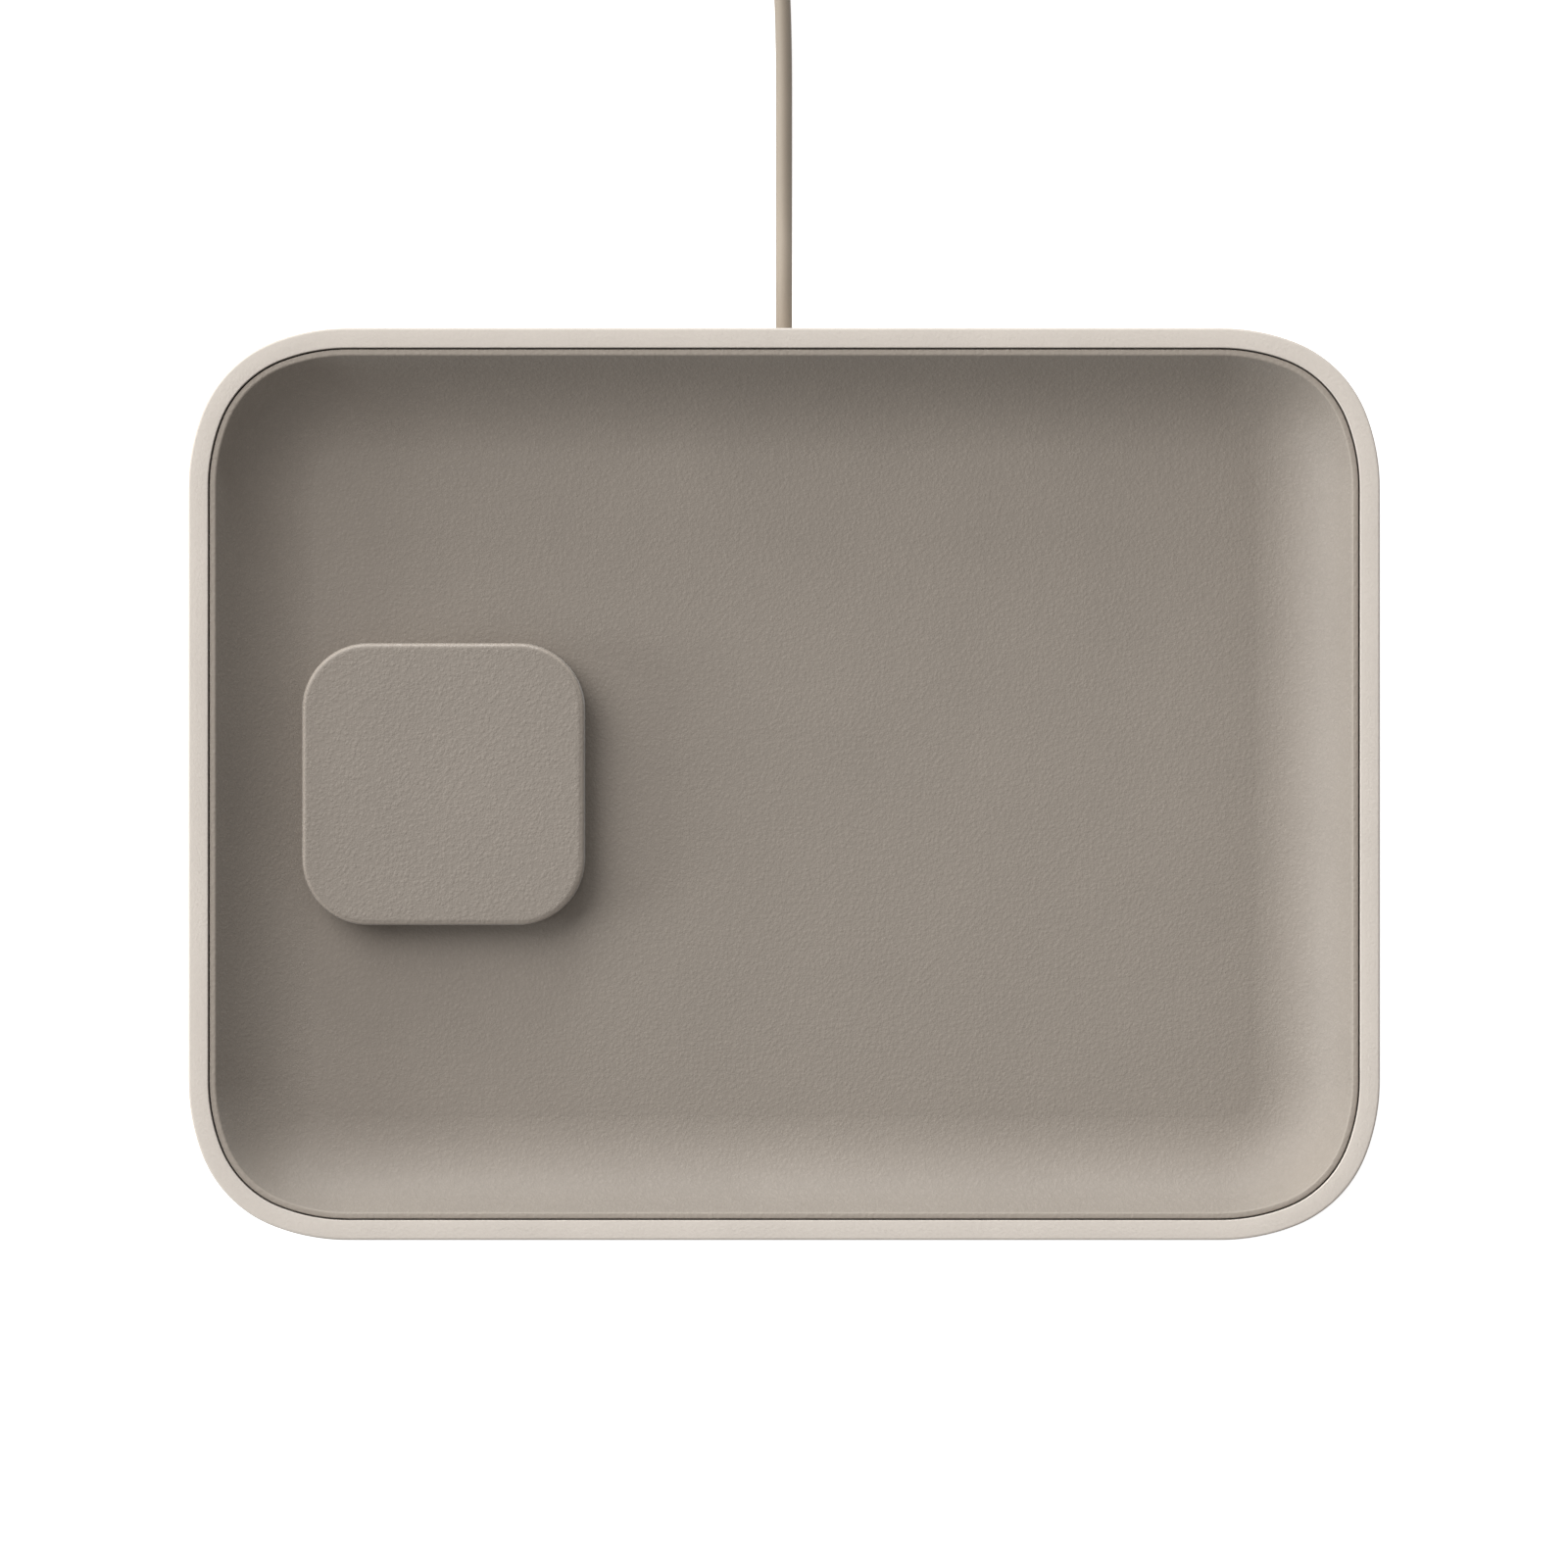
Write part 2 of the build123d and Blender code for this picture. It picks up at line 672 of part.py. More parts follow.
# Put-away coil: level half turns spiral in, one climbs a layer, and they spiral out again
pitch = cord_diameter + turn_gap
middle_radius = cord_diameter * mid_turn_share / 2
outer_radius = middle_radius + half_turns_a_layer * pitch / 4
entry = straight_points[-1]
coil_start = entry + Vector(0, cord_diameter, 0)
with BuildPart() as cord_coil:
    with BuildLine() as turns:
        Line(entry, coil_start)
        place = coil_start
        radius = outer_radius
        heading = 1
        inward = 1
        for layer in range(layers):
            for half_turn in range(half_turns_a_layer):
                ahead = place - Vector(2 * radius * heading, 0, 0)
                top = (place + ahead) / 2 + Vector(0, radius * heading, 0)
                ThreePointArc(place, top, ahead)
                place = ahead
                heading = -heading
                radius -= inward * pitch / 2
            if layer < layers - 1:
                ahead = place + Vector(-2 * radius * heading, 0, pitch)
                top = (place + ahead) / 2 + Vector(0, (ahead - place).length / 2 * heading, 0)
                ThreePointArc(place, top, ahead)
                place = ahead
                heading = -heading
                inward = -inward
                radius -= inward * pitch / 2
        coil_end = place + Vector(0, cord_diameter * heading, 0)
        Line(place, coil_end)
    with BuildSketch(Plane(entry, z_dir=(0, 1, 0))):
        RegularPolygon(turn_corner, turn_sides, rotation=180 / turn_sides)
    sweep(path=turns.wires()[0])
cord_coil.part.label = "cord_coil"
export_step(cord_coil.part, "parts/cord_coil.step")

# Least gap of the coil to itself, between points along it that are over half a turn apart
coil_wire = turns.wires()[0]
coil_length = coil_wire.length
sample_step = cord_radius
sample_count = int(coil_length / sample_step)
samples = [coil_wire.position_at(step * sample_step, PositionMode.LENGTH) for step in range(sample_count)]
apart = int(outer_radius / sample_step)
least_gap = min(
    (here - there).length for index, here in enumerate(samples) for there in samples[index + apart:]
) - cord_diameter
print(f"cord_coil: length {coil_length:.1f}, least gap to itself {least_gap:.2f}")

# Tail: from the coil's upper layer down to the plug on the table beside it
plug_level = plug_thickness / 2
tail_points = [
    coil_end,
    coil_end + Vector(0, -12, 0),
    Vector(coil_end.X - 9, coil_end.Y - 24, coil_end.Z - 1.4),
    Vector(coil_end.X - 24, coil_end.Y - 30, plug_level),
    Vector(coil_end.X - 38, coil_end.Y - 30, plug_level),
]
tail_length = cord_along("cord_tail", tail_points)
free_length = straight_length + coil_length + tail_length
print(f"free cord: {free_length:.0f} from the grommet to the plug")

# Tie round the coil on the side where no turn climbs, midway between the two layers' centres
tie_side = 1 if half_turns_a_layer % 2 else -1
coil_centre = coil_start - Vector(outer_radius, 0, 0)
outmost_turn = outer_radius + min(tie_side, 0) * pitch / 2
inmost_turn = outer_radius - (half_turns_a_layer - 1) * pitch / 2
tie_near = sqrt((inmost_turn - turn_corner) ** 2 - ((tie_width + pitch) / 2) ** 2) - tie_clearance
tie_far = outmost_turn + turn_corner + tie_clearance
tie_opening_height = cord_diameter + (layers - 1) * pitch + tie_clearance
tie_plane = Plane(
    (
        coil_centre.X - (tie_width + max(tie_side, 0) * pitch) / 2,
        coil_centre.Y + tie_side * (tie_near + tie_far) / 2,
        tie_thickness + tie_opening_height / 2,
    ),
    x_dir=(0, 1, 0),
    z_dir=(1, 0, 0),
)
with BuildPart() as cord_tie:
    with BuildSketch(tie_plane):
        Rectangle(tie_far - tie_near + 2 * tie_thickness, tie_opening_height + 2 * tie_thickness)
        Rectangle(tie_far - tie_near, tie_opening_height, mode=Mode.SUBTRACT)
    extrude(amount=tie_width)
cord_tie.part.label = "cord_tie"
export_step(cord_tie.part, "parts/cord_tie.step")

# Plug: a moulded grip with a tapered strain relief, lying flat on the table
plug_plane = Plane(tail_points[-1], x_dir=(0, 1, 0), z_dir=(-1, 0, 0))
with BuildPart() as plug_overmould:
    with BuildSketch(plug_plane.offset(relief_length)) as plug_face:
        Rectangle(plug_width, plug_thickness)
        chamfer(plug_face.vertices(), plug_side_bevel)
    extrude(amount=plug_length)
    chamfer(plug_overmould.edges().group_by(Axis.X)[0], plug_end_bevel)
    chamfer(plug_overmould.edges().group_by(Axis.X)[-1], plug_end_bevel)
    with BuildSketch(plug_plane):
        RegularPolygon(relief_small_radius, cord_sides, rotation=180 / cord_sides)
    with BuildSketch(plug_plane.offset(relief_length)):
        RegularPolygon(relief_large_radius, cord_sides, rotation=180 / cord_sides)
    loft(ruled=True)
    with BuildSketch(plug_plane.offset(relief_length + plug_length - usb_seat)):
        SlotOverall(usb_width, usb_thickness)
    extrude(amount=usb_seat, mode=Mode.SUBTRACT)
plug_overmould.part.label = "plug_overmould"
export_step(plug_overmould.part, "parts/plug_overmould.step")

# Metal shell of the plug, open at its mouth
shell_plane = plug_plane.offset(relief_length + plug_length - usb_seat)
with BuildPart() as plug_shell:
    with BuildSketch(shell_plane):
        SlotOverall(usb_width, usb_thickness)
        SlotOverall(usb_width - 2 * usb_wall, usb_thickness - 2 * usb_wall, mode=Mode.SUBTRACT)
    extrude(amount=usb_seat + usb_reach)
plug_shell.part.label = "plug_shell"
export_step(plug_shell.part, "parts/plug_shell.step")

# Contact block at the back of the shell
with BuildPart() as plug_contacts:
    with BuildSketch(shell_plane):
        SlotOverall(usb_width - 2 * usb_wall, usb_thickness - 2 * usb_wall)
    extrude(amount=usb_core_length)
plug_contacts.part.label = "plug_contacts"
export_step(plug_contacts.part, "parts/plug_contacts.step")
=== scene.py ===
from math import cos, pi, radians, sin, tan

import bpy
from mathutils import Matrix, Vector


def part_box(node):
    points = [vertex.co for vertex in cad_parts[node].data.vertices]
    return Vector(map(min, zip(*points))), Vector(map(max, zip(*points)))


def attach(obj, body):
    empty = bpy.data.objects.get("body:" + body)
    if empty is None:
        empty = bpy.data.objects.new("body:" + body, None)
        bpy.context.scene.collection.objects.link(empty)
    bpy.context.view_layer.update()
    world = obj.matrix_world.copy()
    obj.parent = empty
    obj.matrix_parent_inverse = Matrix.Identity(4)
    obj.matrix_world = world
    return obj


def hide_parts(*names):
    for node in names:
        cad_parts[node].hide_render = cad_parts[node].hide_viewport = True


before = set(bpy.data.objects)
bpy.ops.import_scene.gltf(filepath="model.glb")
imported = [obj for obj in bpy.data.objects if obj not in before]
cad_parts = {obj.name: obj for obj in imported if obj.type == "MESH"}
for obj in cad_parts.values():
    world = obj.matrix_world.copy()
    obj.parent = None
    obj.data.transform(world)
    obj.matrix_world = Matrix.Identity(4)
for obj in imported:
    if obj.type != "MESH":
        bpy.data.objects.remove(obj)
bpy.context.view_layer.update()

mm = 0.001
toRight = Vector((1, 0, 0))
toRear = Vector((0, 1, 0))
upward = Vector((0, 0, 1))


# Camera and light

studio = {
    "lens": 100,
    "cameraHeight": 855.3,
    # share of the light on a level face, degrees from +Y towards -X, elevation, width, colour
    "lights": {
        "softKey": (0.5, 46, 35, 54, (1, 1, 1)),
        "rearSoftbox": (0.086, 0, 9, 20, (0.91, 0.97, 1)),
        "leftSoftbox": (0.116, 95, 11, 22, (0.91, 0.97, 1)),
    },
    "skyColour": (1, 1, 1, 1),
    "skyStrength": 0.38,
    "floorSize": 8000,
    "floorColour": (0.9, 0.9, 0.89, 1),
    "floorGlow": 0.7,
}

bpy.ops.object.select_all(action="DESELECT")
bpy.ops.object.camera_add(location=(0, 0, studio["cameraHeight"] * mm), rotation=(0, 0, 0))
camera = bpy.context.object
camera.name = "overheadCamera"
camera.data.lens = studio["lens"]
camera.data.clip_start = 10 * mm
bpy.context.scene.camera = camera
bpy.context.scene.view_settings.view_transform = "Standard"

for name, (share, turn, elevation, width, colour) in studio["lights"].items():
    aim = (radians(elevation - 90), 0, radians(turn))
    bpy.ops.object.light_add(type="SUN", location=upward, rotation=aim)
    light = bpy.context.object
    light.name = name
    light.data.energy = share * pi / sin(radians(elevation))
    light.data.angle = radians(width)
    light.data.color = colour

world = bpy.data.worlds.new("paleStudio")
bpy.context.scene.world = world
world.use_nodes = True
sky = world.node_tree.nodes["Background"]
sky.inputs["Color"].default_value = studio["skyColour"]
sky.inputs["Strength"].default_value = studio["skyStrength"]
print("camera and light are set")


# Shader maths: a Wire is a socket that can be used in Python sums

class Wire:
    def __init__(self, finish, socket):
        self.finish = finish
        self.socket = socket

    def __add__(self, other):
        return self.finish.maths("ADD", self, other)

    def __sub__(self, other):
        return self.finish.maths("SUBTRACT", self, other)

    def __rsub__(self, other):
        return self.finish.maths("SUBTRACT", other, self)

    def __mul__(self, other):
        return self.finish.maths("MULTIPLY", self, other)

    __radd__ = __add__
    __rmul__ = __mul__


class Finish:
    def __init__(self, name, fixed):
        self.material = bpy.data.materials.new(name)
        self.material.use_nodes = True
        self.tree = self.material.node_tree
        self.shader = self.tree.nodes["Principled BSDF"]
        for socket, value in fixed.items():
            self.shader.inputs[socket].default_value = value
        self.place = self.add("TexCoord", {}, {}, "Object")

    def add(self, kind, settings, inputs, output=0):
        node = self.tree.nodes.new("ShaderNode" + kind)
        for name, value in settings.items():
            setattr(node, name, value)
        for name, value in inputs.items():
            if isinstance(value, Wire):
                self.tree.links.new(value.socket, node.inputs[name])
            else:
                node.inputs[name].default_value = value
        return Wire(self, node.outputs[output])

    def maths(self, operation, *values):
        return self.add("Math", {"operation": operation}, dict(enumerate(values)))

    def spread(self, value, low, high, toLow=0.0, toHigh=1.0, ease="LINEAR"):
        return self.add("MapRange", {"interpolation_type": ease}, {
            0: value, 1: low, 2: high, 3: toLow, 4: toHigh,
        })

    def widen(self, noise, toLow=0.0, toHigh=1.0):
        # Noise stays mostly between 0.3 and 0.7
        return self.spread(noise, 0.3, 0.7, toLow, toHigh)

    def speckle(self, size, detail=2.0, roughness=0.5, place=None):
        return self.add("TexNoise", {}, {
            "Vector": place or self.place, "Scale": 1 / (size * mm),
            "Detail": detail, "Roughness": roughness,
        })

    def pebbles(self, size, place=None):
        # Round bumps, one in each cell, that fall off to nothing towards the cell's edge
        centre = self.add("TexVoronoi", {"feature": "F1"}, {
            "Vector": place or self.place, "Scale": 1 / (size * mm),
        }, "Distance")
        return self.spread(centre, 0.05, 0.7, 1.0, 0.0, "SMOOTHSTEP")

    def along(self, vector, axis):
        return self.add("SeparateXYZ", {}, {"Vector": vector}, axis)

    def blend(self, factor, first, second):
        return self.add("Mix", {"data_type": "RGBA"}, {0: factor, 6: first, 7: second}, 2)

    def relief(self, height, depth):
        # Depth in mm is the height of one unit
        return self.add("Bump", {}, {"Strength": 1.0, "Distance": depth * mm, "Height": height})

    def wear(self, colour, roughness, normal):
        for socket, wire in (("Base Color", colour), ("Roughness", roughness), ("Normal", normal)):
            self.tree.links.new(wire.socket, self.shader.inputs[socket])
        return self.material


def shade(colour, share):
    return tuple(channel * share for channel in colour) + (1,)


hide = {
    "fixed": {
        "Specular IOR Level": 0.4,
        "Sheen Weight": 0.34,
        "Sheen Roughness": 0.42,
        "Sheen Tint": (1, 0.98, 0.96, 1),
    },
    "pebble": 0.9,
    "finePebble": 0.45,         # share of a pebble
    "pore": 0.2,
    "wander": 1.7,
    "patch": 23,
    "bendScale": 450,
    "bendReach": 0.3,
    "tones": (0.92, 1.08),
    "roughness": (0.62, 0.5),
    # Painted highlight: the band below the cut edge is painted paler, standing in for light on the edge
    "cutHighlightTone": 1.24,
    "cutHighlightBand": (0.25, 0.1),     # below the cut edge
    # Painted highlight: the turned edge's band is painted lighter, standing in for light on its round
    "turnedHighlightTone": 1.4,
    "turnedHighlightBand": (0.9, 0.35),  # below the turned edge's top
    "turnedRoughness": 0.36,
}


def leather(name, colour, depth, turnedTop=None, cutTop=None):
    # Fine pebble grain, a little smoother in soft patches, with a painted highlight and more gloss along
    # a turned edge and a paler band painted along a cut one as its highlight
    finish = Finish(name, hide["fixed"])
    wander = finish.speckle(hide["wander"])
    bent = finish.add("VectorMath", {"operation": "MULTIPLY_ADD"}, {
        0: finish.add("TexNoise", {}, {
            "Vector": finish.place, "Scale": hide["bendScale"], "Detail": 1.0,
        }, "Color"),
        1: [hide["bendReach"] * mm] * 3,
        2: finish.place,
    })
    pebble = finish.pebbles(hide["pebble"], bent)
    fine = finish.pebbles(hide["pebble"] * hide["finePebble"], bent)
    pores = finish.speckle(hide["pore"], 2.0, 0.6)
    patches = finish.speckle(hide["patch"], 3.0)
    skin = pebble * 0.6 + fine * 0.35 + pores * 0.35 + wander * 0.15
    mottle = patches * 0.45 + wander * 0.3 + pebble * 0.12 + pores * 0.3
    tone = finish.spread(mottle, 0.32, 0.86)
    shown = finish.blend(tone, *(shade(colour, share) for share in hide["tones"]))
    roughness = finish.spread(patches * 0.6 + skin * 0.4, 0.2, 1.1, *hide["roughness"])
    height = finish.along(finish.place, "Z")
    # Painted highlight: a paler band painted just below the cut edge
    if cutTop:
        cutEdgeHighlight = finish.spread(height, *((cutTop - drop) * mm for drop in hide["cutHighlightBand"]))
        shown = finish.blend(cutEdgeHighlight, shown, shade(colour, hide["cutHighlightTone"]))
    if turnedTop:
        # Painted highlight: a lighter band painted on the turned edge's round, which is also made
        # glossier
        normal = finish.add("NewGeometry", {}, {}, "Normal")
        leaning = finish.spread(finish.along(normal, "Z"), 0.98, 0.8)
        nearTop = finish.spread(height, *((turnedTop - drop) * mm for drop in hide["turnedHighlightBand"]))
        turnedHighlightAndGloss = leaning * nearTop
        shown = finish.blend(turnedHighlightAndGloss, shown, shade(colour, hide["turnedHighlightTone"]))
        roughness = finish.spread(turnedHighlightAndGloss, 0, 1, roughness, hide["turnedRoughness"])
    return finish.wear(shown, roughness, finish.relief(skin, depth))


def moulded(name, colour, roughness=0.6, grain=0.22, depth=0.008, fixed=None):
    # Spark-textured moulding
    finish = Finish(name, fixed or {"Specular IOR Level": 0.4})
    spark = finish.speckle(grain, 3.0, 0.6)
    cloud = finish.speckle(17)
    return finish.wear(
        finish.blend(finish.widen(cloud * 0.5 + spark * 0.5), shade(colour, 0.95), shade(colour, 1.05)),
        finish.widen(spark * 0.5 + cloud * 0.5, roughness - 0.06, roughness + 0.06),
        finish.relief(spark, depth),
    )


def metal(name, colour, roughness, stretch):
    # Fine scratches, drawn out along one axis by the stretch
    finish = Finish(name, {"Metallic": 1.0})
    drawn = finish.add("VectorMath", {"operation": "MULTIPLY"}, {0: finish.place, 1: stretch})
    scratch = finish.speckle(0.3, 4.0, 0.7, drawn)
    cloud = finish.speckle(2.5)
    return finish.wear(
        finish.blend(finish.widen(scratch * 0.5 + cloud * 0.5), shade(colour, 0.88), shade(colour, 1.06)),
        finish.widen(scratch * 0.6 + cloud * 0.4, roughness - 0.08, roughness + 0.1),
        finish.relief(scratch, 0.002),
    )


# Lead: the same route as the solids, and the coil's turns by loop

lead = {
    "diameter": 3.2,
    "length": 848,
    "exit": (0, 87.25, 5.8),
    "straight": [(0, 98, 5.8), (0, 114, 1.6), (0, 158, 1.6), (-3, 178, 2.2), (-3, 193, 2.2)],
    "coilStart": (-3, 196.2),
    "coilHeights": (2.2, 6.0),
    "coilRadii": [23.95, 22.05, 20.15, 18.25, 16.35],
    "climbRadius": 14.45,
    "pointsInHalfTurn": 6,
    "tail": [
        (-54.7, 193, 6.0), (-54.7, 181, 6.0), (-63.7, 169, 4.6), (-78.7, 163, 3.2), (-92.7, 163, 3.2),
    ],
    "stepsAlong": 10,
    "stepsRound": 5,
}


def coilPoints():
    # Half turns one after another. A quadratic spline passes inside its points, by three quarters of
    # the point and an eighth of each neighbour, so the points stand a little outside the turn
    points = []
    low, high = lead["coilHeights"]
    placeX, centreY = lead["coilStart"]
    count = lead["pointsInHalfTurn"]
    step = pi / count
    outside = 1 / (0.75 + 0.25 * cos(step))
    side = 1
    turns = [(radius, low, low) for radius in lead["coilRadii"]]
    turns += [(lead["climbRadius"], low, high)]
    turns += [(radius, high, high) for radius in reversed(lead["coilRadii"])]
    for radius, fromHeight, toHeight in turns:
        centreX = placeX - side * radius
        for index in range(count):
            angle = (index + 0.5) * step
            share = (index + 0.5) / count
            share = share * share * (3 - 2 * share)    # eases in and out
            points.append((
                centreX + side * radius * outside * cos(angle),
                centreY + side * radius * outside * sin(angle),
                fromHeight + (toHeight - fromHeight) * share,
            ))
        placeX -= 2 * side * radius
        side = -side
    return points


def smoothCord(name, points, diameter):
    curve = bpy.data.curves.new(name, "CURVE")
    curve.dimensions = "3D"
    curve.resolution_u = lead["stepsAlong"]
    curve.bevel_depth = diameter / 2 * mm
    curve.bevel_resolution = lead["stepsRound"]
    curve.use_fill_caps = True
    spline = curve.splines.new("NURBS")
    spline.points.add(len(points) - 1)
    for point, place in zip(spline.points, points):
        point.co = (*(Vector(place) * mm), 1)
    spline.order_u = 3
    spline.use_endpoint_u = True
    spline.use_smooth = True
    piece = bpy.data.objects.new(name, curve)
    bpy.context.scene.collection.objects.link(piece)
    return piece


route = [lead["exit"], *lead["straight"], *coilPoints(), *lead["tail"]]
powerLead = smoothCord("powerLead", route, lead["diameter"])
print("the lead is laid")


# Modelling helpers

drafting = {
    "arcStep": 11,          # degrees of a round to one straight
    "smoothAngle": 32,
    "weld": 0.002,
    "sameLevel": 0.001,
    "levelBorder": 0.6,
    "sharpAngle": 60,       # edges that a bevel modifier takes
}


def startPoint(name, place):
    # One selected vertex, in edit mode
    bpy.ops.object.select_all(action="DESELECT")
    bpy.ops.mesh.primitive_plane_add(size=mm, location=(0, 0, 0))
    piece = bpy.context.object
    piece.name = piece.data.name = name
    bpy.ops.object.mode_set(mode="EDIT")
    bpy.ops.mesh.select_mode(type="VERT")
    bpy.ops.mesh.select_all(action="SELECT")
    bpy.ops.mesh.merge(type="CENTER")
    bpy.ops.transform.translate(value=place)
    return piece


def drawSection(name, corners, origin, across, up, closed=True, arcStep=drafting["arcStep"]):
    # Lines and rounds through the corners (across, up, radius), drawn point by point in the plane
    # at the origin
    origin = Vector(origin) * mm
    axis = across.cross(up)

    def inSpace(flat):
        return origin + (across * flat.x + up * flat.y) * mm

    stops = []
    count = len(corners)
    for index, (x, y, radius) in enumerate(corners):
        here = Vector((x, y))
        if radius:
            before = (here - Vector(corners[index - 1][:2])).normalized()
            after = (Vector(corners[(index + 1) % count][:2]) - here).normalized()
            turn = before.angle_signed(after)          # clockwise is positive
            reach = radius * tan(abs(turn) / 2)
            inwards = Vector((before.y, -before.x)) * (1 if turn > 0 else -1)
            middle = here - before * reach + inwards * radius
            stops.append((here - before * reach, here + after * reach, middle, -turn))
        else:
            stops.append((here, here, None, 0))
    start = stops[-1][1] if closed else stops[0][0]
    piece = startPoint(name, inSpace(start))
    at = start
    for arrive, leave, middle, turn in stops:
        if (arrive - at).length > 1e-6:
            step = inSpace(arrive) - inSpace(at)
            bpy.ops.mesh.extrude_vertices_move(TRANSFORM_OT_translate={"value": step})
        if middle:
            steps = max(2, round(abs(turn) / radians(arcStep)))
            bpy.ops.mesh.spin(steps=steps, angle=-turn, center=inSpace(middle), axis=axis)
        at = leave
    bpy.ops.mesh.select_all(action="SELECT")
    bpy.ops.mesh.remove_doubles(threshold=1e-7)
    return piece


def endMesh(piece, smoothAngle=drafting["smoothAngle"]):
    bpy.ops.object.mode_set(mode="EDIT")
    bpy.ops.mesh.select_all(action="SELECT")
    bpy.ops.mesh.remove_doubles(threshold=drafting["weld"] * mm)
    bpy.ops.mesh.normals_make_consistent(inside=False)
    bpy.ops.object.mode_set(mode="OBJECT")
    bpy.ops.object.shade_smooth_by_angle(angle=radians(smoothAngle))
    return piece


def choose(*pieces):
    # Only these pieces are selected, and the first is the active one
    bpy.ops.object.select_all(action="DESELECT")
    for piece in pieces:
        piece.select_set(True)
    bpy.context.view_layer.objects.active = pieces[0]


def applyAll(piece):
    choose(piece)
    for modifier in list(piece.modifiers):
        bpy.ops.object.modifier_apply(modifier=modifier.name)


def combine(piece, other, operation):
    # The other piece is taken out of this one, or made one with it, and is used up
    boolean = piece.modifiers.new("combine", "BOOLEAN")
    boolean.operation = operation
    boolean.solver = "EXACT"
    boolean.object = other
    applyAll(piece)
    bpy.data.objects.remove(other)


def cutOut(piece, cutter):
    combine(piece, cutter, "DIFFERENCE")


def thicken(piece, thickness):
    # The wall grows inwards
    solid = piece.modifiers.new("wall", "SOLIDIFY")
    solid.thickness = thickness * mm
    solid.offset = -1


def softenEdges(piece, width):
    bevel = piece.modifiers.new("softEdge", "BEVEL")
    bevel.width = width * mm
    bevel.segments = 2
    bevel.limit_method = "ANGLE"
    bevel.angle_limit = radians(drafting["sharpAngle"])


def selectFaces(piece, wanted):
    bpy.ops.object.mode_set(mode="EDIT")
    bpy.ops.mesh.select_mode(type="FACE")
    bpy.ops.mesh.select_all(action="DESELECT")
    bpy.ops.object.mode_set(mode="OBJECT")
    for face in piece.data.polygons:
        face.select = wanted(face)
    bpy.ops.object.mode_set(mode="EDIT")


def selectEdges(piece, wanted):
    bpy.ops.object.mode_set(mode="EDIT")
    bpy.ops.mesh.select_mode(type="EDGE")
    bpy.ops.mesh.select_all(action="DESELECT")
    bpy.ops.object.mode_set(mode="OBJECT")
    for edge in piece.data.edges:
        first, second = (piece.data.vertices[index].co for index in edge.vertices)
        edge.select = wanted(first, second)
    bpy.ops.object.mode_set(mode="EDIT")


def roundSelected(radius, segments):
    bpy.ops.mesh.bevel(offset=radius * mm, segments=segments, affect="EDGES")
    bpy.ops.object.mode_set(mode="OBJECT")


def keep(piece, material, slot, *nodes):
    # Dress a finished piece and let it stand for its nodes
    bpy.ops.object.select_all(action="DESELECT")
    piece.data.materials.clear()
    piece.data.materials.append(material)
    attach(piece, "root")
    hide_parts(*nodes)


def copyTo(piece, name, move):
    # A copy with its own mesh, moved in its mesh
    choose(piece)
    bpy.ops.object.duplicate()
    copy = bpy.context.object
    copy.name = copy.data.name = name
    bpy.ops.object.mode_set(mode="EDIT")
    bpy.ops.mesh.select_all(action="SELECT")
    bpy.ops.transform.translate(value=Vector(move) * mm)
    bpy.ops.object.mode_set(mode="OBJECT")
    return copy


def copyToAll(piece, name, places):
    # The piece stands at the first place, and its numbered copies at the others
    (firstX, firstY), *others = places
    return [piece] + [
        copyTo(piece, f"{name}{number}", (x - firstX, y - firstY, 0))
        for number, (x, y) in enumerate(others, start=2)
    ]


def fourCorners(x, y):
    return [(across * x, along * y) for across in (-1, 1) for along in (-1, 1)]


def turnRound(piece, centre, axis, steps):
    # The drawn section goes once round the axis
    bpy.ops.mesh.select_all(action="SELECT")
    bpy.ops.mesh.spin(steps=steps, angle=2 * pi, center=Vector(centre) * mm, axis=axis)
    return endMesh(piece)


def softBlock(name, centre, size, radius, segments=12, axis=2):
    # A block whose four edges along one axis are rounded
    bpy.ops.object.select_all(action="DESELECT")
    bpy.ops.mesh.primitive_cube_add(size=1, location=Vector(centre) * mm, scale=Vector(size) * mm)
    piece = bpy.context.object
    piece.name = piece.data.name = name
    bpy.ops.object.transform_apply(location=True, rotation=True, scale=True)
    selectEdges(piece, lambda first, second: abs((first - second).normalized()[axis]) > 0.99)
    roundSelected(radius, segments)
    return piece


# Tray outline: every wall is the same three-arc corner at its own inset

tray = {
    "length": 228.0,
    "width": 174.5,
    "leadRadius": 39.4,
    "cornerRadius": 24.0,
    "leadTurn": 21,
    "leadSteps": 10,
    "cornerSteps": 20,
}
swing = radians(tray["leadTurn"])
leadReach = tray["leadRadius"] * (1 - cos(swing) + sin(swing))
cornerReach = leadReach + tray["cornerRadius"] * (cos(swing) - sin(swing))
endX = tray["length"] / 2 - cornerReach
endY = tray["width"] / 2 - cornerReach
rearFace = tray["width"] / 2
radiusStep = tray["leadRadius"] - tray["cornerRadius"]
firstCentre = Vector((endX, rearFace - tray["leadRadius"], 0))
middleCentre = firstCentre + radiusStep * Vector((sin(swing), cos(swing), 0))
lastCentre = middleCentre - radiusStep * Vector((cos(swing), sin(swing), 0))


def traySection(name, corners, closed=True):
    # Corners are (inset, height, radius), in the middle of the rear wall
    return drawSection(name, corners, (0, rearFace, 0), -toRear, upward, closed)


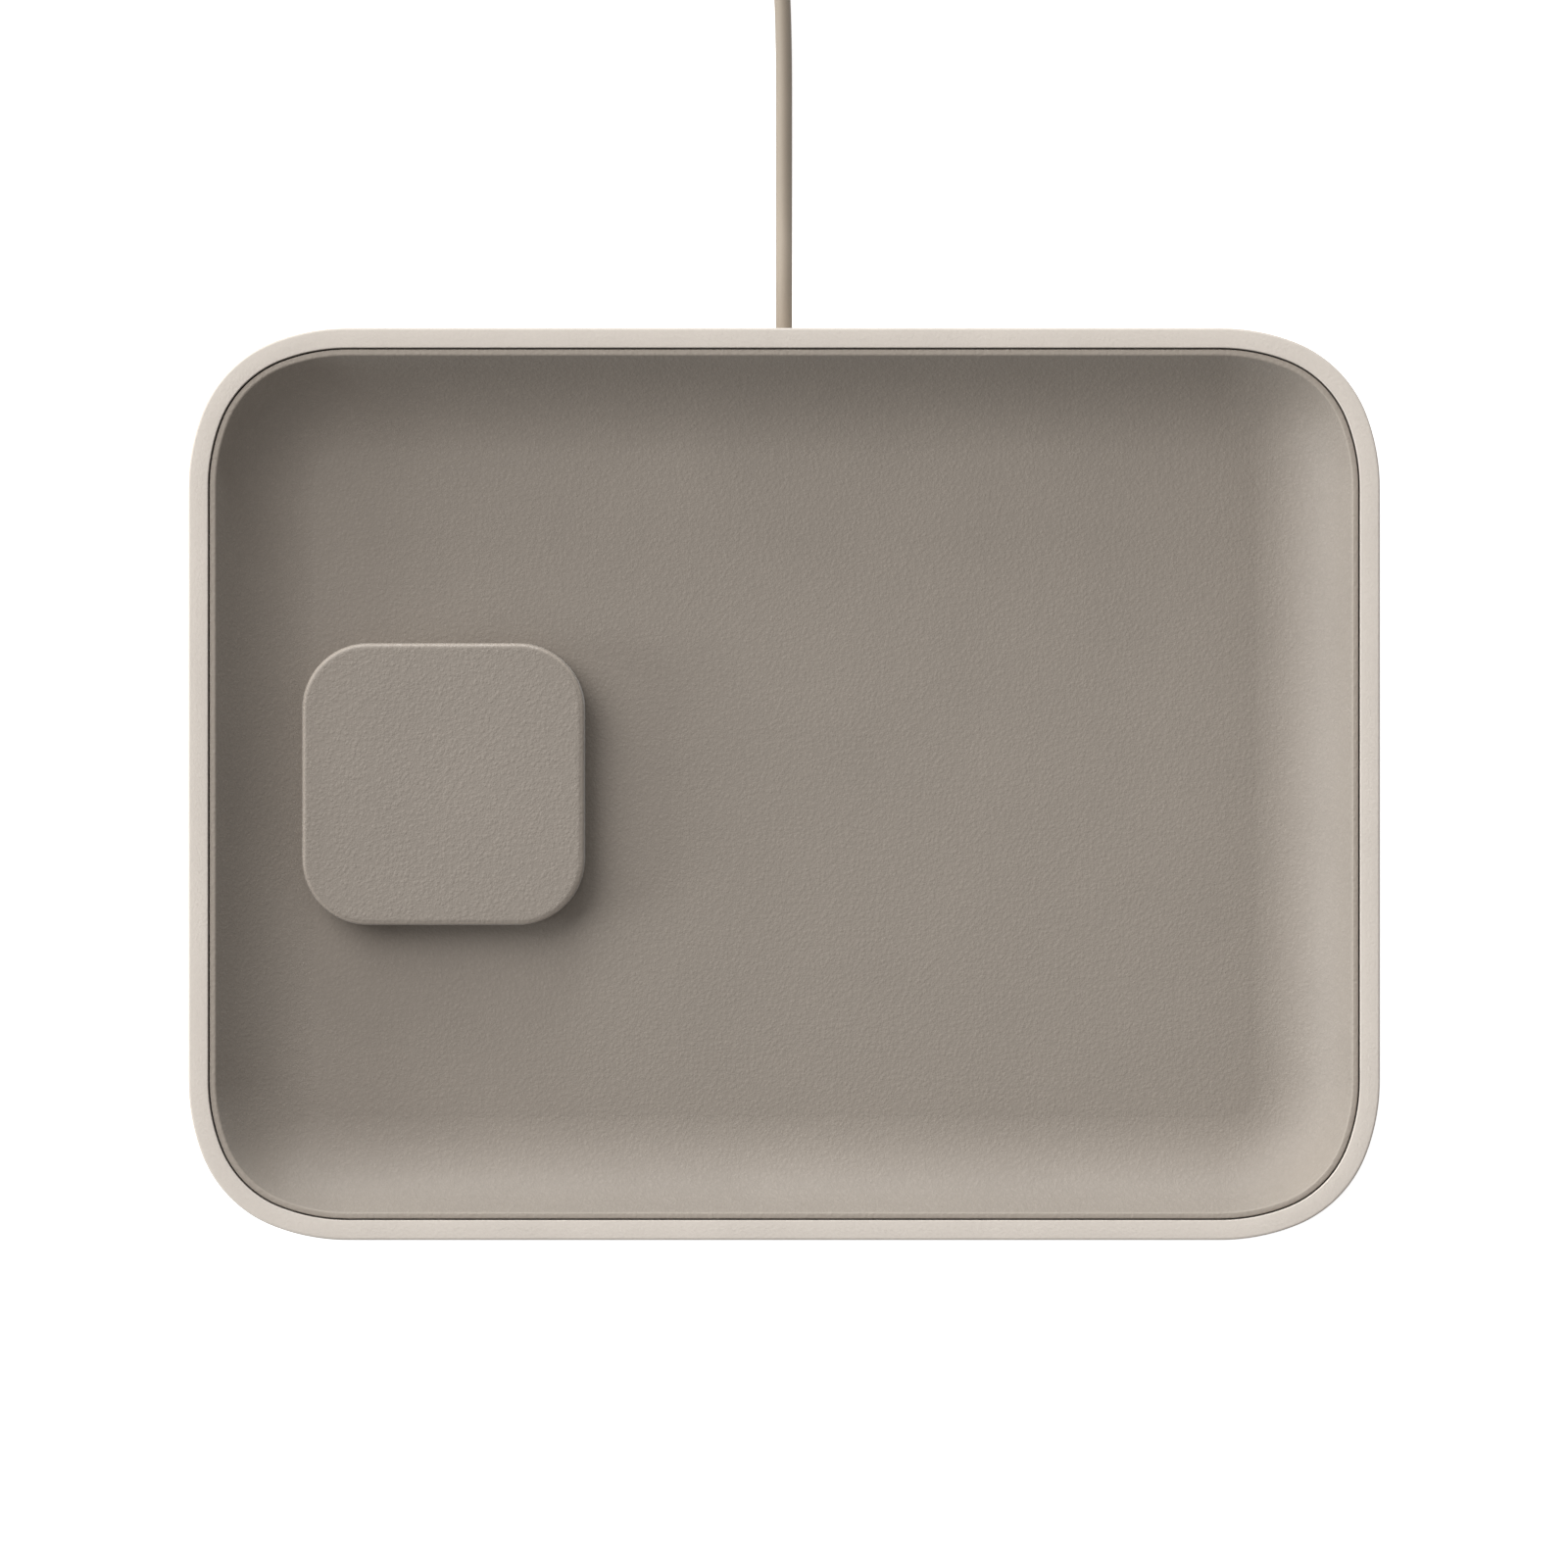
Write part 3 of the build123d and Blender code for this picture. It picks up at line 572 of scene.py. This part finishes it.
def goRoundTray(piece):
    # A quarter of the outline, then its mirror images
    bpy.ops.mesh.select_all(action="SELECT")
    bpy.ops.mesh.extrude_region_move(TRANSFORM_OT_translate={"value": toRight * (endX * mm)})
    for centre, turn, steps in (
        (firstCentre, swing, tray["leadSteps"]),
        (middleCentre, pi / 2 - 2 * swing, tray["cornerSteps"]),
        (lastCentre, swing, tray["leadSteps"]),
    ):
        bpy.ops.mesh.spin(steps=steps, angle=turn, center=centre * mm, axis=upward)
    bpy.ops.mesh.extrude_region_move(TRANSFORM_OT_translate={"value": -toRear * (endY * mm)})
    bpy.ops.object.mode_set(mode="OBJECT")
    mirror = piece.modifiers.new("mirror", "MIRROR")
    mirror.use_axis = (True, True, False)
    mirror.merge_threshold = 1e-6
    applyAll(piece)
    return endMesh(piece)


def closeLevel(piece, height):
    # Fill the open loop at this height, with a narrow flat border so the middle stays flat in the light
    def isLevel(*points):
        return all(abs(point.z - height * mm) < drafting["sameLevel"] * mm for point in points)

    selectEdges(piece, isLevel)
    bpy.ops.mesh.select_mode(type="EDGE")
    bpy.ops.mesh.edge_face_add()
    bpy.ops.mesh.inset(thickness=drafting["levelBorder"] * mm)
    bpy.ops.object.mode_set(mode="OBJECT")


# Outer shell with its rim

shell = {
    "bottom": 1.0,
    "top": 22.4,
    "wall": 2.2,
    "rimWidth": 3.8,
    "rimUnderside": 20.0,
    "lip": 1.1,
    "baseTop": 2.8,
    "bottomRound": 0.5,
    "outerRound": 0.5,
    "innerRound": 0.15,
    "undersideRound": 0.3,
    "colour": (0.61, 0.548, 0.489),
}
trayShell = traySection("trayShell", [
    (0, shell["bottom"], shell["bottomRound"]),
    (0, shell["top"], shell["outerRound"]),
    (shell["rimWidth"], shell["top"], shell["innerRound"]),
    (shell["rimWidth"], shell["rimUnderside"], shell["undersideRound"]),
    (shell["wall"], shell["rimUnderside"], shell["undersideRound"]),
    (shell["wall"], shell["baseTop"], 0),
    (shell["lip"], shell["baseTop"], 0),
    (shell["lip"], shell["bottom"], 0),
])
goRoundTray(trayShell)

grommet = {
    "flangeRadius": 2.8,
    "flangeDepth": 0.8,
    "neckRadius": 2.3,
    "innerRadius": 2.8,
    "innerLength": 1.6,
    "innerGap": 0.02,
    "holeRadius": 1.62,
    "proud": 0.35,
    "play": 0.05,
    "edgeRound": 0.2,
    "flangeRound": 0.3,
    "steps": 40,
}
grommetSpot = (0, rearFace, lead["exit"][2])
holeCutter = drawSection("holeCutter", [
    (0, -1, 0),
    (grommet["flangeRadius"], -1, 0),
    (grommet["flangeRadius"], grommet["flangeDepth"], 0),
    (grommet["neckRadius"], grommet["flangeDepth"], 0),
    (grommet["neckRadius"], shell["wall"] + 1, 0),
    (0, shell["wall"] + 1, 0),
], grommetSpot, upward, -toRear, closed=False)
turnRound(holeCutter, grommetSpot, toRear, grommet["steps"])
cutOut(trayShell, holeCutter)
endMesh(trayShell)

flange = grommet["flangeRadius"] - grommet["play"]
neck = grommet["neckRadius"] - grommet["play"]
innerEnd = shell["wall"] + grommet["innerLength"]
cordGrommet = drawSection("cordGrommet", [
    (grommet["holeRadius"], -grommet["proud"], grommet["edgeRound"]),
    (flange, -grommet["proud"], grommet["flangeRound"]),
    (flange, grommet["flangeDepth"], 0),
    (neck, grommet["flangeDepth"], 0),
    (neck, shell["wall"] + grommet["innerGap"], 0),
    (grommet["innerRadius"], shell["wall"] + grommet["innerGap"], grommet["edgeRound"]),
    (grommet["innerRadius"], innerEnd, grommet["edgeRound"]),
    (grommet["holeRadius"], innerEnd, 0),
], grommetSpot, upward, -toRear, arcStep=20)
turnRound(cordGrommet, grommetSpot, toRear, grommet["steps"])
print("the shell is made")


# Leather of the dish, with its cut edge just inside the rim

dish = {
    "floor": 10.3,
    "floorInset": 22.31,
    "round": 18.2,
    "wallTurn": 67,
    "backRound": 19.22,
    "backTurn": 61,
    "edge": 22.1,
    "innerEdgeRound": 0.5,
    "outerEdgeRound": 0.3,
    "window": (49.1, 49.1, 4),
    "windowCorner": 10.1,
    "grainDepth": 0.055,
    "colour": (0.266, 0.228, 0.192),
}
wallTurn, backTurn = radians(dish["wallTurn"]), radians(dish["backTurn"])
underside = dish["floor"] + dish["round"] - dish["backRound"]
wallFoot = dish["floorInset"] - dish["round"] * tan(wallTurn / 2)
backFoot = dish["floorInset"] - dish["backRound"] * tan(backTurn / 2)
wallTop = wallFoot - (dish["edge"] - dish["floor"]) / tan(wallTurn)
backTop = backFoot - (dish["edge"] - underside) / tan(backTurn)
dishLeather = traySection("dishLeather", [
    (dish["floorInset"], dish["floor"], 0),
    (wallFoot, dish["floor"], dish["round"]),
    (wallTop, dish["edge"], dish["innerEdgeRound"]),
    (backTop, dish["edge"], dish["outerEdgeRound"]),
    (backFoot, underside, dish["backRound"]),
    (dish["floorInset"], underside, 0),
], closed=False)
goRoundTray(dishLeather)
closeLevel(dishLeather, dish["floor"])
closeLevel(dishLeather, underside)
endMesh(dishLeather)

pad = {
    "x": -65.7,
    "size": 54.3,
    "corner": 12.7,
    "bottom": 10.35,
    "top": 16.9,
    "edgeRound": 1.1,
    "footRound": 0.3,
    "cornerSteps": 18,
    "edgeSteps": 10,
    "footSteps": 4,
    "smoothAngle": 40,
    "leather": 0.95,
    "grainDepth": 0.07,
    "colour": (0.276, 0.237, 0.201),
}
window = softBlock("window", (pad["x"], 0, dish["floor"]), dish["window"], dish["windowCorner"])
cutOut(dishLeather, window)
endMesh(dishLeather)
print("the dish is lined")


# Leather cover of the charging pad

padHeight = pad["top"] - pad["bottom"]
padCover = softBlock(
    "padCover", (pad["x"], 0, (pad["bottom"] + pad["top"]) / 2), (pad["size"], pad["size"], padHeight),
    pad["corner"], pad["cornerSteps"],
)
nearTop = (pad["top"] - 0.01) * mm
nearBottom = (pad["bottom"] + 0.01) * mm
wideFace = (20 * mm) ** 2
selectEdges(padCover, lambda first, second: min(first.z, second.z) > nearTop)
roundSelected(pad["edgeRound"], pad["edgeSteps"])
selectEdges(padCover, lambda first, second: max(first.z, second.z) < nearBottom)
roundSelected(pad["footRound"], pad["footSteps"])
selectFaces(padCover, lambda face: face.normal.z < -0.99 and face.area > wideFace)
bpy.ops.mesh.delete(type="FACE")
selectFaces(padCover, lambda face: face.normal.z > 0.999 and face.area > wideFace)
bpy.ops.mesh.inset(thickness=drafting["levelBorder"] * mm)
bpy.ops.object.mode_set(mode="OBJECT")
thicken(padCover, pad["leather"])
applyAll(padCover)
endMesh(padCover, pad["smoothAngle"])
print("the pad is covered")


# Base panel, let into the shell, with a shallow field left bare and four screw recesses

base = {
    "inset": 1.3,
    "border": 9,
    "bottom": 1.0,
    "top": 2.8,
    "edgeRound": 0.3,
    "fieldSize": (150, 96, 0.5),
    "fieldCorner": 8,
    "screws": (85, 58.25),
    "recessRadius": 2.75,
    "recessDepth": 1.4,
    "chamfer": 0.35,
    "screwHole": 1.55,
    "colour": (0.135, 0.126, 0.117),
}
basePanel = traySection("basePanel", [
    (base["border"], base["top"], 0),
    (base["inset"], base["top"], 0),
    (base["inset"], base["bottom"], base["edgeRound"]),
    (base["border"], base["bottom"], 0),
], closed=False)
goRoundTray(basePanel)
closeLevel(basePanel, base["top"])
closeLevel(basePanel, base["bottom"])
endMesh(basePanel)
cutOut(basePanel, softBlock("field", (0, 0, base["bottom"]), base["fieldSize"], base["fieldCorner"]))
recessTop = base["bottom"] + base["recessDepth"]
recessMouth = base["recessRadius"] + base["chamfer"]
screwPlaces = fourCorners(*base["screws"])
for x, y in screwPlaces:
    recess = drawSection("recess", [
        (0, base["bottom"] - 1, 0),
        (recessMouth, base["bottom"] - 1, 0),
        (recessMouth, base["bottom"], 0),
        (base["recessRadius"], base["bottom"] + base["chamfer"], 0),
        (base["recessRadius"], recessTop, 0),
        (base["screwHole"], recessTop, 0),
        (base["screwHole"], base["top"] + 1, 0),
        (0, base["top"] + 1, 0),
    ], (x, y, 0), toRight, upward, closed=False)
    cutOut(basePanel, turnRound(recess, (x, y, 0), upward, 32))
endMesh(basePanel)

screw = {
    "head": 2.5,
    "headBottom": 1.2,
    "headTop": 2.4,
    "dome": (1.5, 2.2),         # where its round turns down, and the round
    "domeHeight": 0.45,
    "rimRound": 0.3,
    "seatRound": 0.12,
    "shank": 1.3,
    "shankRound": 0.15,
    "tip": (0.5, 0.8),          # radius and length
    "crossSize": (2.7, 0.6, 1.4),
    "crossRound": 0.2,
    "steps": 32,
}
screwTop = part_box("base_screws")[1][2] / mm
domeTurn, domeRound = screw["dome"]
tipRadius, tipLength = screw["tip"]
firstX, firstY = screwPlaces[0]
baseScrew = drawSection("baseScrew", [
    (0, screw["headBottom"], 0),
    (domeTurn, screw["headBottom"], domeRound),
    (screw["head"], screw["headBottom"] + screw["domeHeight"], screw["rimRound"]),
    (screw["head"], screw["headTop"], screw["seatRound"]),
    (screw["shank"], screw["headTop"], screw["shankRound"]),
    (screw["shank"], screwTop - tipLength, 0),
    (tipRadius, screwTop, 0),
    (0, screwTop, 0),
], (firstX, firstY, 0), toRight, upward, closed=False)
turnRound(baseScrew, (firstX, firstY, 0), upward, screw["steps"])
slotLong, slotWide, slotDeep = screw["crossSize"]
slots = [
    softBlock("slot", (firstX, firstY, screw["headBottom"]), size, screw["crossRound"], 3)
    for size in ((slotLong, slotWide, slotDeep), (slotWide, slotLong, slotDeep))
]
for slot in slots:
    cutOut(baseScrew, slot)
endMesh(baseScrew)
baseScrews = copyToAll(baseScrew, "baseScrew", screwPlaces)
print("the base is screwed on")


# Rubber feet, with a rounded edge and a hollow middle that grips

foot = {
    "places": (94, 67.25),
    "radius": 6.0,
    "height": 1.0,
    "edgeRound": 0.4,
    "hollowRadius": 4.1,
    "hollowDepth": 0.25,
    "hollowSlope": 0.4,
    "ringRound": 0.3,
    "steps": 56,
    "colour": (0.05, 0.047, 0.044),
}
footPlaces = fourCorners(*foot["places"])
footSpot = (*footPlaces[0], 0)
rubberFoot = drawSection("rubberFoot", [
    (0, foot["hollowDepth"], 0),
    (foot["hollowRadius"], foot["hollowDepth"], foot["hollowSlope"]),
    (foot["hollowRadius"] + foot["hollowSlope"], 0, foot["ringRound"]),
    (foot["radius"], 0, foot["edgeRound"]),
    (foot["radius"], foot["height"], 0),
    (0, foot["height"], 0),
], footSpot, toRight, upward, closed=False)
turnRound(rubberFoot, footSpot, upward, foot["steps"])
rubberFeet = copyToAll(rubberFoot, "rubberFoot", footPlaces)
print("the feet are on")


# Plug: a moulded grip with a ringed strain relief, and its hollow metal shell

plug = {
    "start": (-92.7, 163.0, 3.2),
    "reliefLength": 9.0,
    "reliefRadii": (2.1, 2.8),
    "reliefRound": 0.3,
    "rings": 4,
    "firstRing": 1.2,
    "ringWidth": 0.8,
    "ringDepth": 0.45,
    "ringRound": 0.15,
    "grip": (20.0, 10.6, 6.4),
    "gripRound": 2.6,
    "endRound": 0.8,
    "thumbSize": (9.0, 6.2, 0.5),
    "thumbRound": 2.4,
    "shell": (8.65, 8.25, 2.4),
    "shellWall": 0.3,
    "mouthEdge": 0.08,
    "seatDepth": 2.0,
    "seatPlay": 0.06,
}
startX, plugY, plugZ = plug["start"]
gripLength, _, gripHeight = plug["grip"]
gripStart = startX - plug["reliefLength"]
gripEnd = gripStart - gripLength
gripMiddle = (gripStart + gripEnd) / 2
plugGrip = softBlock("plugGrip", (gripMiddle, plugY, plugZ), plug["grip"], plug["gripRound"], 8, axis=0)
selectEdges(plugGrip, lambda first, second: abs(first.x - second.x) < 1e-7)
roundSelected(plug["endRound"], 4)
for side in (-1, 1):
    hollow = (gripMiddle, plugY, plugZ + side * gripHeight / 2)
    cutOut(plugGrip, softBlock("thumb", hollow, plug["thumbSize"], plug["thumbRound"]))

thinEnd, thickEnd = plug["reliefRadii"]
ringStep = (plug["reliefLength"] - plug["ringWidth"]) / plug["rings"]
reliefCorners = [(0, 0, 0), (thinEnd, 0, plug["reliefRound"])]
for ring in range(plug["rings"]):
    ringAt = plug["firstRing"] + ring * ringStep
    ringEnd = ringAt + plug["ringWidth"]
    outer = thinEnd + (thickEnd - thinEnd) * ringAt / plug["reliefLength"]
    inner = outer - plug["ringDepth"]
    reliefCorners += [
        (radius, along, plug["ringRound"])
        for radius, along in ((outer, ringAt), (inner, ringAt), (inner, ringEnd), (outer, ringEnd))
    ]
reliefCorners += [(thickEnd, plug["reliefLength"] + 1, 0), (0, plug["reliefLength"] + 1, 0)]
relief = drawSection("relief", reliefCorners, plug["start"], upward, -toRight, closed=False, arcStep=30)
turnRound(relief, plug["start"], toRight, 32)
combine(plugGrip, relief, "UNION")

shellLength, shellWidth, shellHeight = plug["shell"]
shellStart = gripEnd + plug["seatDepth"]
shellRound = shellHeight / 2 - 0.01     # a little less than half, so that a flat stays between the rounds
seatSize = (10, shellWidth + plug["seatPlay"], shellHeight + plug["seatPlay"])
seat = softBlock("seat", (shellStart - seatSize[0] / 2, plugY, plugZ), seatSize, shellRound, 8, axis=0)
cutOut(plugGrip, seat)
endMesh(plugGrip)

plugShell = softBlock(
    "plugShell", (shellStart - shellLength / 2, plugY, plugZ), plug["shell"], shellRound, 8, axis=0,
)
selectFaces(plugShell, lambda face: face.normal.x < -0.9)
bpy.ops.mesh.delete(type="FACE")
bpy.ops.object.mode_set(mode="OBJECT")
thicken(plugShell, plug["shellWall"])
softenEdges(plugShell, plug["mouthEdge"])
applyAll(plugShell)
endMesh(plugShell)
print("the plug is made")


# Hook-tape tie round the coil, with its end lapped over the top

tie = {
    "x": (-32.85, -24.85),
    "y": (208.48, 222.96),
    "z": (0.0, 8.4),
    "thickness": 0.6,
    "corner": 2.4,
    "edge": 0.15,
    "lapLift": 0.05,
    "lapEnd": (3.0, 0.25),      # from the loop's side, and how far the tip stands off
    "lapBend": (4.2, 3.0),      # from the loop's side, and its round
    "lapFoot": 2.6,
    "thread": 0.5,
    "colour": (0.30, 0.255, 0.215),
}
tieLeft, tieRight = tie["x"]
halfY, halfZ = ((high - low) / 2 for low, high in (tie["y"], tie["z"]))
tieOrigin = (tieLeft, sum(tie["y"]) / 2, sum(tie["z"]) / 2)


def strap(name, corners, closed=True):
    piece = drawSection(name, corners, tieOrigin, toRear, upward, closed)
    width = toRight * ((tieRight - tieLeft) * mm)
    bpy.ops.mesh.extrude_region_move(TRANSFORM_OT_translate={"value": width})
    endMesh(piece)
    thicken(piece, tie["thickness"])
    softenEdges(piece, tie["edge"])
    applyAll(piece)
    return piece


cordTie = strap("cordTie", [
    (side * halfY, level * halfZ, tie["corner"]) for side, level in ((-1, -1), (1, -1), (1, 1), (-1, 1))
])
tipIn, tipLift = tie["lapEnd"]
bendIn, bendRound = tie["lapBend"]
lapY = halfY + tie["thickness"] + tie["lapLift"]
lapZ = halfZ + tie["thickness"] + tie["lapLift"]
lap = strap("lap", [
    (tipIn - halfY, halfZ + tie["thickness"] + tipLift, 0),
    (bendIn - halfY, lapZ, bendRound),
    (lapY, lapZ, tie["corner"] + tie["thickness"]),
    (lapY, tie["lapFoot"] - halfZ, 0),
], closed=False)
choose(cordTie, lap)
bpy.ops.object.join()
endMesh(cordTie)
print("the tie is on")


# Finishes

waveScale = 3.18    # a wave texture of scale 1 has this many bands to a unit


def solderMask(name):
    # Green lacquer over raised tracks
    finish = Finish(name, {"Specular IOR Level": 0.5, "Coat Roughness": 0.15})
    lines = finish.add("TexBrick", {"offset": 0.37, "squash": 0.6}, {
        "Vector": finish.place, "Scale": 160, "Mortar Size": 0.035, "Mortar Smooth": 0.2, "Bias": 0,
        "Color1": (1, 1, 1, 1), "Color2": (0.6, 0.6, 0.6, 1), "Mortar": (0, 0, 0, 1),
    }, "Fac")
    dust = finish.speckle(0.4, 3.0)
    return finish.wear(
        finish.blend(lines * 0.8 + dust * 0.2, (0.008, 0.075, 0.03, 1), (0.016, 0.13, 0.055, 1)),
        finish.widen(dust, 0.3, 0.4),
        finish.relief(lines + dust * 0.1, 0.03),
    )


def winding(name, centre, wire):
    # Enamelled wire laid in rings round the coil's eye
    finish = Finish(name, {"Metallic": 0.85})
    centred = finish.add("Mapping", {}, {"Vector": finish.place, "Location": -Vector(centre) * mm})
    rings = finish.add("TexWave", {"wave_type": "RINGS", "rings_direction": "Z"}, {
        "Vector": centred, "Scale": 1 / (wire * mm) / waveScale, "Distortion": 0.0,
    }, "Fac")
    tint = finish.speckle(3.0)
    return finish.wear(
        finish.blend(rings * 0.7 + tint * 0.3, (0.16, 0.045, 0.016, 1), (0.62, 0.25, 0.10, 1)),
        finish.widen(tint, 0.28, 0.4),
        finish.relief(rings, 0.2),
    )


def hookTape(name, colour, thread):
    # Plain weave, one over one, with a faint pile
    finish = Finish(name, {"Specular IOR Level": 0.2, "Sheen Weight": 0.25, "Sheen Roughness": 0.4})
    threads = [
        finish.add("TexWave", {"bands_direction": direction}, {
            "Vector": finish.place, "Scale": 1 / (thread * mm) / waveScale,
            "Distortion": 0.6, "Detail": 1.0, "Detail Scale": 1.0,
        }, "Fac")
        for direction in ("X", "DIAGONAL")
    ]
    pile = finish.speckle(0.2, 3.0, 0.7)
    height = threads[0] * 0.5 + threads[1] * 0.5 + pile * 0.5
    return finish.wear(
        finish.blend(finish.spread(height, 0.3, 1.2), shade(colour, 0.72), shade(colour, 1.15)),
        finish.widen(pile, 0.8, 0.95),
        finish.relief(height, 0.12),
    )


tones = {
    "insert": (0.075, 0.07, 0.066),
    "housing": (0.042, 0.042, 0.042),
    "jacket": (0.32, 0.266, 0.21),
    "screwSteel": (0.56, 0.56, 0.57),
    "plugSteel": (0.66, 0.66, 0.67),
    "chip": (0.018, 0.018, 0.019),
    "ceramic": (0.34, 0.24, 0.14),
    "ferrite": (0.045, 0.045, 0.048),
    "connector": (0.72, 0.70, 0.64),
}
softJacket = {
    "Specular IOR Level": 0.3,
    "Sheen Weight": 0.5,
    "Sheen Roughness": 0.4,
    "Sheen Tint": (1, 0.92, 0.84, 1),
}

# roughness, grain and depth of the moulded ones, in that order
shellPaint = moulded("shellPaint", shell["colour"], 0.62, 0.55, 0.06, {"Specular IOR Level": 0.3})
dishSkin = leather("dishLeather", dish["colour"], dish["grainDepth"], cutTop=dish["edge"])
padSkin = leather("padLeather", pad["colour"], pad["grainDepth"], turnedTop=pad["top"])
basePlastic = moulded("basePlastic", base["colour"], 0.66, 0.35, 0.02)
footRubber = moulded("footRubber", foot["colour"], 0.85, 0.5, 0.02, {"Specular IOR Level": 0.25})
insertPlastic = moulded("insertPlastic", tones["insert"])
housingPlastic = moulded("housingPlastic", tones["housing"])
jacket = moulded("cordJacket", tones["jacket"], 0.6, 0.18, 0.006, softJacket)
screwSteel = metal("screwSteel", tones["screwSteel"], 0.34, (1, 1, 4))
plugSteel = metal("plugSteel", tones["plugSteel"], 0.24, (0.05, 1, 1))
chipBlack = moulded("chipBlack", tones["chip"], 0.5, 0.12, 0.004)
ceramic = moulded("ceramic", tones["ceramic"], 0.4, 0.2, 0.003)
ferriteGrey = moulded("ferriteGrey", tones["ferrite"], 0.55, 0.15, 0.006)
connectorWhite = moulded("connectorWhite", tones["connector"], 0.45, 0.3, 0.004)
boardGreen = solderMask("boardGreen")
coilCopper = winding("coilCopper", (pad["x"], 0, 0), 0.6)
tieFabric = hookTape("tieFabric", tie["colour"], tie["thread"])

keep(trayShell, shellPaint, "shell_paint", "outer_shell")
keep(dishLeather, dishSkin, "dish_leather", "leather_liner")
keep(padCover, padSkin, "pad_leather", "pad_leather")
keep(basePanel, basePlastic, "base_plastic", "base_plate")
keep(cordGrommet, jacket, "cord_jacket", "cord_grommet")
for piece in baseScrews:
    keep(piece, screwSteel, "screw_steel", "base_screws")
for piece in rubberFeet:
    keep(piece, footRubber, "foot_rubber", "rubber_feet")
keep(plugGrip, jacket, "cord_jacket", "plug_overmould")
keep(plugShell, plugSteel, "plug_steel", "plug_shell")
keep(cordTie, tieFabric, "tie_fabric", "cord_tie")
keep(powerLead, jacket, "cord_jacket", "cord_straight", "cord_coil", "cord_tail")

carried = {
    "tray_insert": insertPlastic,
    "cord_clamp": insertPlastic,
    "pad_housing": housingPlastic,
    "pad_base": housingPlastic,
    "pad_screws": screwSteel,
    "charging_coil": coilCopper,
    "coil_ferrite": ferriteGrey,
    "coil_thermistor": chipBlack,
    "circuit_board": boardGreen,
    "power_chip": chipBlack,
    "power_inductor": ferriteGrey,
    "resonant_capacitors": ceramic,
    "lead_connector": connectorWhite,
    "lead_plug": connectorWhite,
    "inner_lead": jacket,
    "plug_contacts": chipBlack,
}
for node, material in carried.items():
    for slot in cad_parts[node].material_slots:
        slot.material = material
print("every piece has its finish")


# Pale floor, a white ground that throws no light back

bpy.ops.object.select_all(action="DESELECT")
bpy.ops.mesh.primitive_plane_add(size=studio["floorSize"] * mm, location=(0, 0, 0))
studioFloor = bpy.context.object
studioFloor.name = "studioFloor"
paleFloor = Finish("paleFloor", {
    "Base Color": studio["floorColour"],
    "Roughness": 0.8,
    "Specular IOR Level": 0.1,
    "Emission Color": (1, 1, 1, 1),
    "Emission Strength": studio["floorGlow"],
})
studioFloor.data.materials.append(paleFloor.material)
studioFloor.visible_diffuse = studioFloor.visible_glossy = False
